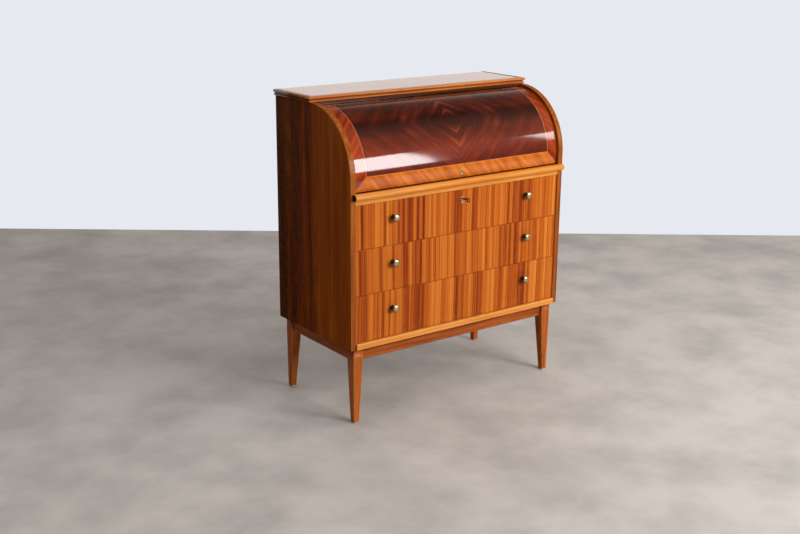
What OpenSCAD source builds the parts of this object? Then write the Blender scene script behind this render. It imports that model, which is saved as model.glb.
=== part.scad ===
// Roll top desk: a cylinder-front writing cabinet on a low frame of tapered legs.
// X runs to the right, Y to the back, Z up. The floor is z = 0.

/* [Overall] */
// Width across the side panels
desk_w = 900; // [760:5:1200]
// Depth of the side panels
desk_d = 440; // [380:5:560]
// Height from the floor to the top surface
desk_h = 1050; // [880:5:1300]

/* [Carcass] */
// Thickness of the side panels
panel_t = 20; // [14:0.5:25]
// Thickness of the top board and its mouldings
top_t = 20; // [18:0.5:26]
// Thickness of the bottom board
bottom_t = 20; // [14:0.5:26]
// Thickness of the back panel
back_t = 5.5; // [4:0.5:9]
// How far the back panel is let in from the back edges
back_inset = 1; // [0:0.5:3]
// Overlap of the back panel into each side panel
rabbet = 8; // [4:0.5:11]
// Depth of the grooves that hold the horizontal boards in the side panels
dado = 5; // [3:0.5:8]
// Thickness of the dust board under the writing board
dust_t = 16; // [12:0.5:22]
// Depth of the solid strips that edge the dust board and the bottom board
edging_w = 20; // [14:1:30]
// How far the slide rail lies behind the side panels' edges
rail_set = 1; // [0:0.5:3]
// How far the bottom rail stands ahead of the side panels' edges
bottom_proud = 6; // [2:0.5:10]
// How far the top board's front line stands behind the middle of the side panels
top_setback = 6; // [0:1:14]

/* [Base frame] */
// Height of the underside of the cabinet above the floor
base_h = 260; // [180:5:320]
// Side of a leg at its top
leg_top = 38; // [32:1:48]
// Side of a leg at its foot
leg_foot = 21; // [16:1:28]
// How far the legs stand in from the cabinet's sides
leg_in_x = 18; // [8:1:30]
// How far the legs stand in from the cabinet's front and back edges
leg_in_y = 12; // [6:1:24]
// How far a foot leans in from its leg's outer faces
foot_lean = 2; // [0:0.5:4]
// Height of the aprons
apron_h = 48; // [36:1:60]
// Thickness of the aprons
apron_t = 18; // [14:1:22]
// How far the front and back aprons lie behind the faces of their legs
apron_set = 10; // [4:1:14]
// How far the side aprons lie behind the faces of their legs
apron_side_set = 5; // [2:1:14]
// Radius of the rounded lower edge of an apron
apron_round = 7; // [3:0.5:9]
// Height of the glides under the feet
glide_h = 3; // [2:0.5:6]
// Radius of the glides
glide_r = 8; // [6:0.5:8]
// Side of the corner blocks
block_w = 34; // [26:1:40]
// Radius of the screws that hold the cabinet to its base
screw_r = 2.5; // [2:0.25:3.5]
// Depth of the screws in the bottom board
screw_bite = 13; // [6:1:13]

/* [Cylinder] */
// How far the cylinder lies behind the curved edges of the side panels
cyl_set = 9; // [6:0.5:14]
// Thickness of the cylinder's shell
shell_t = 12; // [9:0.5:15]
// How far the closed shell reaches below its pivot
cyl_drop = 36; // [30:1:44]
// How far the closed shell runs on past the top, in degrees
tail_deg = 4; // [2:0.5:5]
// Thickness of the quadrant plates at the shell's ends
quadrant_t = 10; // [8:0.5:13]
// Radius of a quadrant's hub
hub_r = 22; // [16:1:24]
// Radius of the pivot bolts
pivot_r = 5; // [4:0.5:7]
// Depth of the pivot bolts in the side panels
pivot_bite = 12; // [8:0.5:13]
// Thickness of a pivot bolt's head
pivot_head = 3; // [2:0.5:4]
// Gap between a quadrant and its side panel
quadrant_gap = 1; // [0.6:0.2:2]
// Gap between the shell's ends and the side panels
shell_gap = 1.5; // [0.8:0.1:2.5]
// Gap between the shell and the rail above it
rail_gap = 1.3; // [1:0.1:2]
// Depth of the rail under the top board
rail_w = 36; // [24:1:40]
// How far the rail stands ahead of the middle of the side panels
rail_out = 6; // [2:1:12]
// Opening angle of the cylinder
swing_deg = 92; // [85:1:92]

/* [Writing board] */
// Thickness of the writing board
slide_t = 18; // [14:0.5:22]
// Gap between the writing board and its neighbours above and below
slide_gap = 0.5; // [0.3:0.1:1]
// Gap between the writing board and the side panels
slide_side_gap = 1; // [0.5:0.1:2]
// How far the writing board's back edge lies from the cabinet's back edge
slide_back = 40; // [30:1:60]
// Travel of the writing board
slide_travel = 250; // [150:5:250]
// How far the nosing stands ahead of the side panels
nosing_out = 20; // [14:1:26]
// How far the nosing's ends lie in from the cabinet's sides
nosing_in = 8; // [4:1:14]
// How far the nosing rises above the writing board
nosing_lip = 3; // [1:0.5:3]
// Thickness of the fixed floor of the writing compartment
floor_t = 8; // [6:0.5:9]
// Gap between the nosing and the side panels behind it
nosing_gap = 1; // [0.5:0.1:2]
// Gap between the nosing and the closed shell above it
shell_rest_gap = 1; // [0.5:0.1:2]
// Radius of the stop pegs under the writing board
peg_r = 5; // [4:0.5:7]
// Distance of the stop pegs from the middle
peg_x = 300; // [150:5:320]

/* [Drawers] */
// Gap between drawer fronts
front_gap = 1.5; // [0.8:0.1:2.5]
// How much lower each drawer front is than the one beneath it
front_step = 5; // [0:1:12]
// Thickness of the drawer fronts
front_t = 18; // [14:1:22]
// How far the drawer fronts lie behind the side panels' edges
front_set = 3; // [1:0.5:6]
// Thickness of the drawer sides
side_t = 14; // [12:0.5:16]
// Thickness of the drawer backs
drawer_back_t = 12; // [8:0.5:15]
// Thickness of the drawer bottoms
drawer_floor_t = 5; // [4:0.5:6]
// Gap between a drawer's sides and the side panels
drawer_gap = 2.5; // [1.5:0.5:4]
// Gap between a drawer and the back panel
drawer_back_gap = 20; // [10:1:40]
// How far the drawer sides stay below the top of their front
drawer_top_cut = 14; // [8:1:20]
// How far the drawer sides stay above the bottom of their front
drawer_low_cut = 8; // [4:1:12]
// Height of the runners
runner_h = 16; // [12:1:20]
// Thickness of the runners
runner_t = 9; // [7:0.5:9]
// Gap round a runner in its groove
runner_gap = 0.4; // [0.2:0.1:1]

/* [Knobs] */
// Distance of the knobs from the middle
knob_x = 284; // [180:2:320]
// Height of the knobs above the middle of their drawer front
knob_raise = 19; // [0:1:24]
// Radius of a knob at its flared front
knob_r = 13.5; // [9:0.5:15]
// Length of a knob's black stem
knob_stem = 18; // [14:0.5:22]
// Height of the brass cap on a knob's front
knob_cap = 5; // [3:0.5:7]
// Width of the black rim round a knob's cap
knob_rim = 2; // [1:0.25:3]

/* [Lock and key] */
// Distance of the keyhole below the top of the drawer front
keyhole_down = 30; // [26:1:38]
// Height of the cylinder's keyhole above the shell's lower edge
cyl_keyhole_up = 22; // [18:1:26]
// Radius of the key's pipe
key_r = 2.5; // [2:0.1:3]
// Length of the key ahead of the drawer front
key_out = 31; // [20:1:36]
// Outer radius of the key's ring
bow_r = 8; // [7:0.5:12]
// Thickness of the keyhole plates
plate_t = 0.7; // [0.5:0.1:0.8]

/* [Pigeonholes] */
// Thickness of the unit's boards
unit_t = 8; // [6:0.5:10]
// Thickness of the thin partitions
partition_t = 5; // [4:0.5:8]
// Gap between the pigeonhole unit and the pivot bolts' heads
unit_gap = 2.7; // [2:0.1:6]
// How far the unit's front lies behind the shell's inner face
unit_recess = 137; // [120:1:150]
// Angle of the unit's back top corner above the pivot, in degrees
unit_deg = 49; // [44:1:54]
// Free room between the unit's back top corner and the shell's inner face
unit_room = 13; // [10:0.5:20]
// Height of the small drawers
inner_h = 60; // [45:1:70]
// Width of a small drawer
inner_w = 256; // [200:1:260]
// Gap round a small drawer
inner_gap = 0.8; // [0.5:0.1:1.5]
// Number of pigeonholes
hole_count = 5; // [3:1:6]

/* [Hidden] */
$fn = 96;

// Small allowances shared by several pieces
cut = 1;
press_gap = 0.02;
hairline = 0.02;
running_gap = 0.05;

// The carcass round its middle: half sizes and edges
half_w = desk_w / 2;
half_d = desk_d / 2;
inner_x = half_w - panel_t;
front_y = -half_d;
back_y = half_d;
back_in_y = back_y - back_inset - back_t;
top_z = desk_h - top_t;

// The pivot lies midway between the front and back edges, a quarter circle below the top
corner_r = half_d;
pivot_z = top_z - corner_r;
cyl_r = corner_r - cyl_set;
shell_in_r = cyl_r - shell_t;
low_deg = asin(cyl_drop / cyl_r);
shell_half_w = inner_x - shell_gap;
quadrant_x = inner_x - quadrant_gap - quadrant_t;
head_over = 4;
head_r = pivot_r + head_over;
head_gap = 0.3;

// Heights from the cylinder down to the drawers
shell_low_z = pivot_z - cyl_drop;
slide_z = shell_low_z - shell_rest_gap - nosing_lip - slide_t;
floor_z = slide_z + slide_t + 2 * slide_gap;
dust_z = slide_z - slide_gap - dust_t;
bottom_z = base_h + bottom_t;
compartment_z = floor_z + floor_t;

// The writing board runs from just ahead of the side panels to near the back
slide_front_y = front_y - nosing_gap;
slide_back_y = back_y - slide_back;

// Drawer fronts share the opening between the bottom board and the slide rail
front_sum = dust_z - bottom_z - 4 * front_gap;
mid_h = front_sum / 3;
front_hs = [mid_h + front_step, mid_h, mid_h - front_step];
front_zs = [
    bottom_z + front_gap,
    bottom_z + 2 * front_gap + front_hs[0],
    bottom_z + 3 * front_gap + front_hs[0] + front_hs[1]
];
front_half_w = inner_x - front_gap;
front_face_y = front_y + front_set;
box_front_y = front_face_y + front_t;
box_back_y = back_in_y - drawer_back_gap;
box_half_w = inner_x - drawer_gap;
runner_setback = 12;
runner_past = 10;
runner_end_gap = 1;
runner_front_y = box_front_y + runner_setback;
runner_back_y = box_back_y + runner_past;
peg_clear = 1;
slot_r = peg_r + peg_clear;
peg_y = slide_back_y - 2 * slot_r;
floor_dip = 6;
floor_let = 5;

// Keyholes and their plates: bore radius, slot width and how far the slot drops
cyl_hole = [2.5, 2.4, 7];
plate_r = 7;
plate_foot_r = 4.5;
plate_drop = 12;
cyl_key_z = shell_low_z + cyl_keyhole_up;
cyl_lock_lift = 5;
cyl_hole_depth = 9;

// Lock and key
lock_z = front_zs[2] + front_hs[2] - keyhole_down;
lock_depth = 11;
lock_wall = 1.5;
lock_w = 50;
lock_h = 36;
chamber_room = 1.5;
pin_h = lock_depth + front_t / 2;
key_bit = 7;
key_room = 0.7;
key_end_gap = 0.5;
bow_hole = 0.6;
drawer_hole = [key_r + key_room, 3, key_bit + 1];
bow_y = front_face_y - key_out;
front_reach = bow_y - bow_r;

// Each pair is a share of a knob's radius and of its stem's length
knob_profile = [
    [0.66, 0], [0.65, 0.06], [0.58, 0.2], [0.55, 0.36], [0.58, 0.54],
    [0.7, 0.72], [0.88, 0.86], [1, 0.92], [1, 0.98]
];

// Pigeonhole unit
unit_half_w = quadrant_x - head_gap - pivot_head - unit_gap;
unit_corner_r = shell_in_r - unit_room;
unit_back_y = unit_corner_r * cos(unit_deg);
unit_top_z = pivot_z + unit_corner_r * sin(unit_deg);
unit_front_y = -shell_in_r + unit_recess;
unit_back_t = 4;
unit_in_x = unit_half_w - unit_t;
shelf_z = compartment_z + inner_h + 2 * inner_gap;
inner_divider_x = unit_in_x - inner_w - 2 * inner_gap;
inner_back_gap = 6;
inner_set = 1;

// Base frame
leg_x = half_w - leg_in_x;
leg_y = half_d - leg_in_y;
apron_z = base_h - apron_h;
block_set = 10;
block_h = apron_h - block_set;
block_x = leg_x - leg_top - block_w;
block_y = leg_y - apron_set - apron_t - block_w;

// Eased and moulded edges
rail_ease = 2.5;
lip_r = 4.5;
bead_r = 3.5;
lip_w = 12;
lip_reach = 2 * lip_r + 1;

// The origin is on the floor under the middle of the whole object
shift_y = -(front_reach + back_y) / 2;

// Colours
dark_wood = "#4a2010";
red_wood = "#7c3015";
orange_wood = "#b9642a";
light_wood = "#d98e45";
inside_wood = "#c98a55";
brass = "#c9b07a";
black_wood = "#1d1512";
pale = "#e6e2d8";

// A box from its lowest and highest corner along each axis
module block(x, y, z) {
    translate([x[0], y[0], z[0]])
        cube([x[1] - x[0], y[1] - y[0], z[1] - z[0]]);
}

// Moves a sub-part from the carcass's own middle to the object's origin
module placed() {
    translate([0, shift_y, 0]) children();
}

// A solid with an outline in Y and Z, from x[0] to x[1]
module along_x(x) {
    translate([x[0], 0, 0])
        rotate([90, 0, 90])
            linear_extrude(x[1] - x[0]) children();
}

// A copy on each side of the middle plane
module both_sides() {
    children();
    mirror([1, 0, 0]) children();
}

// Points of an arc from angle a to angle b
function arc(centre, r, a, b, steps = 10) =
    [for (i = [0 : steps]) let (t = a + (b - a) * i / steps)
        centre + r * [cos(t), sin(t)]];

// ---- Carcass ----

module side_outline() {
    translate([front_y, base_h]) square([desk_d, pivot_z - base_h]);
    translate([0, pivot_z - cut]) square([half_d, corner_r + cut]);
    intersection() {
        translate([0, pivot_z]) circle(corner_r, $fn = 180);
        translate([-corner_r - cut, pivot_z - cut]) square(corner_r + 2 * cut);
    }
}

// The right side panel, with grooves for the boards, a rabbet and the pivot hole
module side_panel() {
    difference() {
        along_x([inner_x, half_w]) side_outline();
        block([inner_x - cut, inner_x + rabbet], [back_in_y, back_y + cut],
              [base_h - cut, desk_h]);
        for (groove = [[base_h - cut, bottom_z, front_y + edging_w],
                       [dust_z, dust_z + dust_t, front_y + edging_w + rail_set],
                       [floor_z, compartment_z, unit_front_y]])
            block([inner_x - cut, inner_x + dado], [groove[2], back_y],
                  [groove[0], groove[1]]);
        translate([inner_x - cut, 0, pivot_z]) rotate([0, 90, 0])
            cylinder(r = pivot_r + press_gap, h = pivot_bite + cut);
    }
}

module side_panel_left() {
    color(dark_wood) placed() mirror([1, 0, 0]) side_panel();
}

module side_panel_right() {
    color(dark_wood) placed() side_panel();
}

module bottom_board() {
    board_x = inner_x + dado;
    color(red_wood) placed() difference() {
        block([-board_x, board_x], [front_y + edging_w, back_in_y], [base_h, bottom_z]);
        screw_places() cylinder(r = screw_r + press_gap, h = base_h + screw_bite);
    }
}

// Solid edging that stands a little ahead of the side panels
module bottom_rail() {
    color(light_wood) placed() along_x([-inner_x, inner_x])
        polygon(concat(
            [[front_y + edging_w, base_h], [front_y + edging_w, bottom_z]],
            arc([front_y - bottom_proud + rail_ease, bottom_z - rail_ease], rail_ease, 90, 180, 5),
            arc([front_y - bottom_proud + rail_ease, base_h + rail_ease], rail_ease, 180, 270, 5)));
}

module dust_board() {
    board_x = inner_x + dado;
    color(inside_wood) placed() difference() {
        block([-board_x, board_x], [front_y + edging_w + rail_set, back_in_y],
              [dust_z, dust_z + dust_t]);
        both_sides() {
            block([peg_x - slot_r, peg_x + slot_r],
                  [peg_y - slide_travel, peg_y], [dust_z - cut, slide_z]);
            for (y = [peg_y - slide_travel, peg_y])
                translate([peg_x, y, dust_z - cut])
                    cylinder(r = slot_r, h = dust_t + 2 * cut);
        }
    }
}

module slide_rail() {
    color(light_wood) placed()
        block([-inner_x, inner_x], [front_y + rail_set, front_y + edging_w + rail_set],
              [dust_z, dust_z + dust_t]);
}

module case_floor() {
    board_x = inner_x + dado;
    color(inside_wood) placed()
        block([-board_x, board_x], [unit_front_y, back_in_y], [floor_z, compartment_z]);
}

// Lipping of the top board: x is how far it stands out, y the height in the board
module lipping_outline() {
    bead_x = 2.5;
    flat_x = 3;
    quirk = 0.5;
    polygon(concat(
        [[-lip_w, 0]],
        arc([bead_x, bead_r], bead_r, -90, 70, 8),
        [[flat_x, 2 * bead_r + quirk], [flat_x, top_t - 2 * lip_r]],
        arc([lip_r, top_t - lip_r], lip_r, -90, 90, 12),
        [[-lip_w, top_t]]));
}

module top_board() {
    core_x = half_w - lip_w;
    color(red_wood) placed()
        block([-core_x, core_x], [top_setback + lip_w, back_y], [top_z, desk_h]);
}

// The mitres of the lipping run out at 45 degrees from the core's front corners
module top_moulding_front() {
    color(light_wood) placed() intersection() {
        translate([-desk_w, top_setback, top_z]) rotate([90, 0, 90]) mirror([1, 0, 0])
            linear_extrude(2 * desk_w) lipping_outline();
        translate([0, 0, top_z - cut]) linear_extrude(top_t + 2 * cut) polygon([
            [-half_w + lip_w, top_setback + lip_w], [half_w - lip_w, top_setback + lip_w],
            [half_w + lip_reach, top_setback - lip_reach],
            [-half_w - lip_reach, top_setback - lip_reach]]);
    }
}

module top_moulding_ends() {
    color(light_wood) placed() both_sides() intersection() {
        translate([half_w, back_y, top_z]) rotate([90, 0, 0])
            linear_extrude(desk_d) lipping_outline();
        translate([0, 0, top_z - cut]) linear_extrude(top_t + 2 * cut) polygon([
            [half_w - lip_w, top_setback + lip_w],
            [half_w + lip_reach, top_setback - lip_reach],
            [half_w + lip_reach, back_y], [half_w - lip_w, back_y]]);
    }
}

module top_rail() {
    color(dark_wood) placed()
        block([-inner_x, inner_x], [-rail_out, rail_w - rail_out],
              [pivot_z + cyl_r + rail_gap, top_z]);
}

module back_panel() {
    color(inside_wood) placed()
        block([-inner_x - rabbet, inner_x + rabbet], [back_in_y, back_in_y + back_t],
              [base_h, top_z]);
}

// ---- Base frame ----

// The right back leg: square at the apron, then tapered towards the foot
module leg() {
    slim = leg_top - leg_foot - foot_lean;
    intersection() {
        rotate([90, 0, 0]) translate([0, 0, -desk_d])
            linear_extrude(2 * desk_d) leg_outline(leg_x, slim);
        along_x([0, desk_w]) leg_outline(leg_y, slim);
    }
}

module leg_outline(outer, slim) {
    polygon([
        [outer - leg_top, base_h], [outer - leg_top, apron_z],
        [outer - leg_top + slim, glide_h], [outer - foot_lean, glide_h],
        [outer, apron_z], [outer, base_h]]);
}

module leg_front_left() {
    color(orange_wood) placed() mirror([0, 1, 0]) mirror([1, 0, 0]) leg();
}

module leg_front_right() {
    color(orange_wood) placed() mirror([0, 1, 0]) leg();
}

module leg_back_left() {
    color(orange_wood) placed() mirror([1, 0, 0]) leg();
}

module leg_back_right() {
    color(orange_wood) placed() leg();
}

// An apron's section: x runs outwards from its inner face
module apron_outline() {
    polygon(concat(
        [[0, base_h], [0, apron_z]],
        arc([apron_t - apron_round, apron_z + apron_round], apron_round, 270, 360, 7),
        [[apron_t, base_h]]));
}

module long_apron() {
    translate([-leg_x + leg_top, leg_y - apron_set - apron_t, 0]) rotate([90, 0, 90])
        linear_extrude(2 * (leg_x - leg_top)) apron_outline();
}

module apron_front() {
    color(orange_wood) placed() mirror([0, 1, 0]) long_apron();
}

module apron_back() {
    color(orange_wood) placed() long_apron();
}

module apron_sides() {
    color(orange_wood) placed() both_sides()
        translate([leg_x - apron_side_set - apron_t, leg_y - leg_top, 0])
            rotate([90, 0, 0]) linear_extrude(2 * (leg_y - leg_top)) apron_outline();
}

module foot_glides() {
    centre = leg_foot / 2 + foot_lean;
    color(pale) placed()
        for (x = [centre - leg_x, leg_x - centre], y = [centre - leg_y, leg_y - centre])
            translate([x, y, 0]) cylinder(r = glide_r, h = glide_h);
}

module screw_places() {
    for (x = [-block_x - block_w / 2, block_x + block_w / 2],
         y = [-block_y - block_w / 2, block_y + block_w / 2])
        translate([x, y, 0]) children();
}

module corner_blocks() {
    color(inside_wood) placed() difference() {
        for (x = [-block_x - block_w, block_x], y = [-block_y - block_w, block_y])
            block([x, x + block_w], [y, y + block_w], [base_h - block_h, base_h]);
        screw_places() cylinder(r = screw_r + press_gap, h = base_h + cut);
    }
}

module base_screws() {
    screw_head = 2;
    color(brass) placed() screw_places() {
        translate([0, 0, base_h - block_h])
            cylinder(r = screw_r, h = block_h + screw_bite - cut);
        translate([0, 0, base_h - block_h - screw_head])
            cylinder(r = 2 * screw_r, h = screw_head);
    }
}

// ---- Fittings on the carcass ----

module drawer_runners() {
    color(inside_wood) placed() both_sides()
        for (i = [0 : 2]) {
            mid_z = front_zs[i] + front_hs[i] / 2;
            block([inner_x - runner_t, inner_x], [runner_front_y + runner_end_gap, runner_back_y],
                  [mid_z - runner_h / 2, mid_z + runner_h / 2]);
        }
}

module pivot_bolts() {
    color(brass) placed() both_sides()
        translate([quadrant_x - head_gap - pivot_head, 0, pivot_z]) rotate([0, 90, 0]) {
            cylinder(r = head_r, h = pivot_head);
            cylinder(r = pivot_r, h = inner_x + pivot_bite - quadrant_x + pivot_head);
        }
}

// Batten that the shell's tail comes down to when the cylinder is open
module tail_stop() {
    stop_deg = swing_deg + tail_deg - 90;
    stop_gap = 0.5;
    color(inside_wood) placed()
        block([-unit_half_w, unit_half_w], [shell_in_r, cyl_r],
              [compartment_z, pivot_z - cyl_r * sin(stop_deg) - stop_gap]);
}

// ---- Pigeonhole unit ----

module unit_sides() {
    color(inside_wood) placed() both_sides()
        block([unit_in_x, unit_half_w], [unit_front_y, unit_back_y],
              [compartment_z, unit_top_z - unit_t]);
}

module unit_top() {
    color(inside_wood) placed()
        block([-unit_half_w, unit_half_w], [unit_front_y, unit_back_y],
              [unit_top_z - unit_t, unit_top_z]);
}

module unit_back() {
    color(inside_wood) placed()
        block([-unit_in_x, unit_in_x], [unit_back_y - unit_back_t, unit_back_y],
              [compartment_z, unit_top_z - unit_t]);
}

module unit_shelf() {
    color(inside_wood) placed()
        block([-unit_in_x, unit_in_x], [unit_front_y, unit_back_y - unit_back_t],
              [shelf_z, shelf_z + unit_t]);
}

module unit_partitions() {
    pitch = 2 * unit_in_x / hole_count;
    deep = [unit_front_y, unit_back_y - unit_back_t];
    color(inside_wood) placed() {
        both_sides()
            block([inner_divider_x - unit_t, inner_divider_x], deep,
                  [compartment_z, shelf_z]);
        for (i = [1 : hole_count - 1]) {
            x = i * pitch - unit_in_x;
            block([x - partition_t / 2, x + partition_t / 2], deep,
                  [shelf_z + unit_t, unit_top_z - unit_t]);
        }
    }
}

// The two small drawers, open at the top
module inner_drawer() {
    wall = 7;
    thin = 4;
    x = [inner_divider_x + inner_gap, unit_in_x - inner_gap];
    y = [unit_front_y + inner_set, unit_back_y - unit_back_t - inner_back_gap];
    z = [compartment_z + inner_gap, shelf_z - inner_gap];
    difference() {
        block(x, y, z);
        block([x[0] + wall, x[1] - wall], [y[0] + wall + thin, y[1] - wall],
              [z[0] + thin, z[1] + cut]);
    }
}

module inner_drawer_left() {
    color(orange_wood) placed() mirror([1, 0, 0]) inner_drawer();
}

module inner_drawer_right() {
    color(orange_wood) placed() inner_drawer();
}

module inner_knob() {
    knob_foot = 3.4;
    knob_neck = [2.6, 4];
    dome_r = 6;
    dome_up = 7;
    translate([(inner_divider_x + unit_in_x) / 2, unit_front_y + inner_set,
               (compartment_z + shelf_z) / 2]) rotate([90, 0, 0])
        rotate_extrude() polygon(concat(
            [[0, 0], [knob_foot, 0], knob_neck],
            arc([0, dome_up], dome_r, 0, 90, 7)));
}

module inner_knob_left() {
    color(brass) placed() mirror([1, 0, 0]) inner_knob();
}

module inner_knob_right() {
    color(brass) placed() inner_knob();
}

// ---- Cylinder ----

// A wedge of the YZ plane from the shell's lower edge round to its tail
module cylinder_wedge(r) {
    far = 3 * r;
    polygon([
        [0, pivot_z],
        [-far * cos(low_deg), pivot_z - far * sin(low_deg)],
        [-far, pivot_z + far],
        [far * sin(tail_deg), pivot_z + far * cos(tail_deg)]]);
}

// A keyhole of a given bore, slot and drop, as a solid that runs along Y through y = 0
module keyhole(hole, length) {
    rotate([90, 0, 0]) translate([0, 0, -length / 2]) {
        cylinder(r = hole[0], h = length);
        translate([-hole[1] / 2, -hole[2], 0]) cube([hole[1], hole[2], length]);
    }
}

// Outline of a keyhole plate, as a solid that runs along Y
module plate_form(length) {
    rotate([90, 0, 0]) translate([0, 0, -length / 2]) {
        cylinder(r = plate_r, h = length);
        translate([-plate_foot_r, -plate_drop, 0])
            cube([2 * plate_foot_r, plate_drop, length]);
        translate([0, -plate_drop, 0]) cylinder(r = plate_foot_r, h = length);
    }
}

module cylinder_shell() {
    color(red_wood) placed() difference() {
        along_x([-shell_half_w, shell_half_w]) intersection() {
            difference() {
                translate([0, pivot_z]) circle(cyl_r, $fn = 180);
                translate([0, pivot_z]) circle(shell_in_r, $fn = 180);
            }
            cylinder_wedge(cyl_r);
        }
        translate([0, -cyl_r, cyl_key_z]) keyhole(cyl_hole, 4 * shell_t);
    }
}

module quadrant() {
    difference() {
        along_x([quadrant_x, quadrant_x + quadrant_t]) {
            intersection() {
                translate([0, pivot_z]) circle(shell_in_r, $fn = 180);
                cylinder_wedge(shell_in_r);
            }
            translate([0, pivot_z]) circle(hub_r);
        }
        translate([quadrant_x - cut, 0, pivot_z]) rotate([0, 90, 0])
            cylinder(r = pivot_r + running_gap, h = quadrant_t + 2 * cut);
    }
}

module quadrant_left() {
    color(inside_wood) placed() mirror([1, 0, 0]) quadrant();
}

module quadrant_right() {
    color(inside_wood) placed() quadrant();
}

module cylinder_escutcheon() {
    color(brass) placed() difference() {
        intersection() {
            along_x([-lock_w, lock_w]) difference() {
                translate([0, pivot_z]) circle(cyl_r + plate_t, $fn = 180);
                translate([0, pivot_z]) circle(cyl_r, $fn = 180);
            }
            translate([0, -cyl_r, cyl_key_z]) plate_form(2 * shell_t);
        }
        translate([0, -cyl_r, cyl_key_z]) keyhole(cyl_hole, 4 * shell_t);
    }
}

// The cylinder's lock, fitted to the hollow of the shell
module cylinder_lock() {
    color(brass) placed() difference() {
        intersection() {
            along_x([-lock_w / 2, lock_w / 2])
                translate([0, pivot_z]) circle(shell_in_r, $fn = 180);
            block([-lock_w / 2, lock_w / 2],
                  [-shell_in_r - cut, lock_depth - shell_in_r],
                  [shell_low_z + cyl_lock_lift, shell_low_z + cyl_lock_lift + lock_h]);
        }
        translate([0, -shell_in_r, cyl_key_z]) keyhole(cyl_hole, 2 * cyl_hole_depth);
    }
}

// ---- Writing board ----

module writing_board() {
    board_x = inner_x - slide_side_gap;
    color(red_wood) placed()
        block([-board_x, board_x], [slide_front_y, slide_back_y],
              [slide_z, slide_z + slide_t]);
}

module slide_nosing() {
    nosing_z = [slide_z + slide_gap, slide_z + slide_t + nosing_lip];
    nosing_r = (nosing_z[1] - nosing_z[0]) / 2;
    color(light_wood) placed() along_x([-half_w + nosing_in, half_w - nosing_in])
        polygon(concat(
            [[slide_front_y, nosing_z[0]], [slide_front_y, nosing_z[1]]],
            arc([front_y - nosing_out + nosing_r, nosing_z[0] + nosing_r],
                nosing_r, 90, 270, 14)));
}

module slide_stop_pegs() {
    color(inside_wood) placed() both_sides()
        translate([peg_x, peg_y, slide_z - dust_t + peg_clear])
            cylinder(r = peg_r, h = dust_t - peg_clear);
}

// ---- Main drawers, counted from the bottom ----

module drawer_front(i) {
    block([-front_half_w, front_half_w], [front_face_y, box_front_y],
          [front_zs[i], front_zs[i] + front_hs[i]]);
}

// Two grooved sides and the back between them
module drawer_frame(i) {
    z = [front_zs[i] + drawer_low_cut, front_zs[i] + front_hs[i] - drawer_top_cut];
    mid_z = front_zs[i] + front_hs[i] / 2;
    inside = box_half_w - side_t;
    groove_x = inner_x - runner_t - 3 * runner_gap;
    both_sides() difference() {
        block([inside, box_half_w], [box_front_y, box_back_y], z);
        block([groove_x, box_half_w + cut], [runner_front_y, box_back_y + cut],
              [mid_z - runner_h / 2 - runner_gap, mid_z + runner_h / 2 + runner_gap]);
        block([inside - cut, inside + floor_let], [box_front_y - cut, box_back_y + cut],
              [z[0] + floor_dip, z[0] + floor_dip + drawer_floor_t]);
    }
    block([hairline - inside, inside - hairline],
          [box_back_y - drawer_back_t, box_back_y],
          [z[0] + floor_dip + drawer_floor_t, z[1]]);
}

module drawer_bottom(i) {
    floor_x = box_half_w - side_t + floor_let;
    low = front_zs[i] + drawer_low_cut + floor_dip;
    block([-floor_x, floor_x], [box_front_y, box_back_y], [low, low + drawer_floor_t]);
}

module knob_places(i) {
    for (x = [-knob_x, knob_x])
        translate([x, front_face_y, front_zs[i] + front_hs[i] / 2 + knob_raise])
            rotate([90, 0, 0]) children();
}

// A turned stem, waisted behind its flared front
module knob_stems(i) {
    knob_places(i) rotate_extrude() polygon(concat(
        [[0, 0]],
        [for (p = knob_profile) [knob_r * p[0], knob_stem * p[1]]],
        [[knob_r - knob_rim / 2, knob_stem], [0, knob_stem]]));
}

// A domed cap with a short straight edge
module knob_caps(i) {
    edge = 0.8;
    dome = knob_cap - edge;
    cap_r = knob_r - knob_rim;
    knob_places(i) translate([0, 0, knob_stem]) rotate_extrude() polygon(concat(
        [[0, 0], [cap_r, 0]],
        [for (t = [0 : 10 : 90]) [cap_r * cos(t), edge + dome * sin(t)]]));
}

module top_drawer_front() {
    color(orange_wood) placed() difference() {
        drawer_front(2);
        translate([0, front_face_y, lock_z])
            keyhole(drawer_hole, 2 * front_t + 2 * cut);
    }
}

module top_drawer_frame() {
    color(inside_wood) placed() drawer_frame(2);
}

module top_drawer_bottom() {
    color(inside_wood) placed() drawer_bottom(2);
}

module top_drawer_knob_stems() {
    color(black_wood) placed() knob_stems(2);
}

module top_drawer_knob_caps() {
    color(brass) placed() knob_caps(2);
}

module middle_drawer_front() {
    color(orange_wood) placed() drawer_front(1);
}

module middle_drawer_frame() {
    color(inside_wood) placed() drawer_frame(1);
}

module middle_drawer_bottom() {
    color(inside_wood) placed() drawer_bottom(1);
}

module middle_drawer_knob_stems() {
    color(black_wood) placed() knob_stems(1);
}

module middle_drawer_knob_caps() {
    color(brass) placed() knob_caps(1);
}

module bottom_drawer_front() {
    color(orange_wood) placed() drawer_front(0);
}

module bottom_drawer_frame() {
    color(inside_wood) placed() drawer_frame(0);
}

module bottom_drawer_bottom() {
    color(inside_wood) placed() drawer_bottom(0);
}

module bottom_drawer_knob_stems() {
    color(black_wood) placed() knob_stems(0);
}

module bottom_drawer_knob_caps() {
    color(brass) placed() knob_caps(0);
}

// ---- Lock and key of the top drawer ----

module drawer_escutcheon() {
    color(brass) placed() difference() {
        translate([0, front_face_y - plate_t / 2, lock_z]) plate_form(plate_t);
        translate([0, front_face_y, lock_z])
            keyhole(drawer_hole, 4 * plate_t);
    }
}

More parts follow.
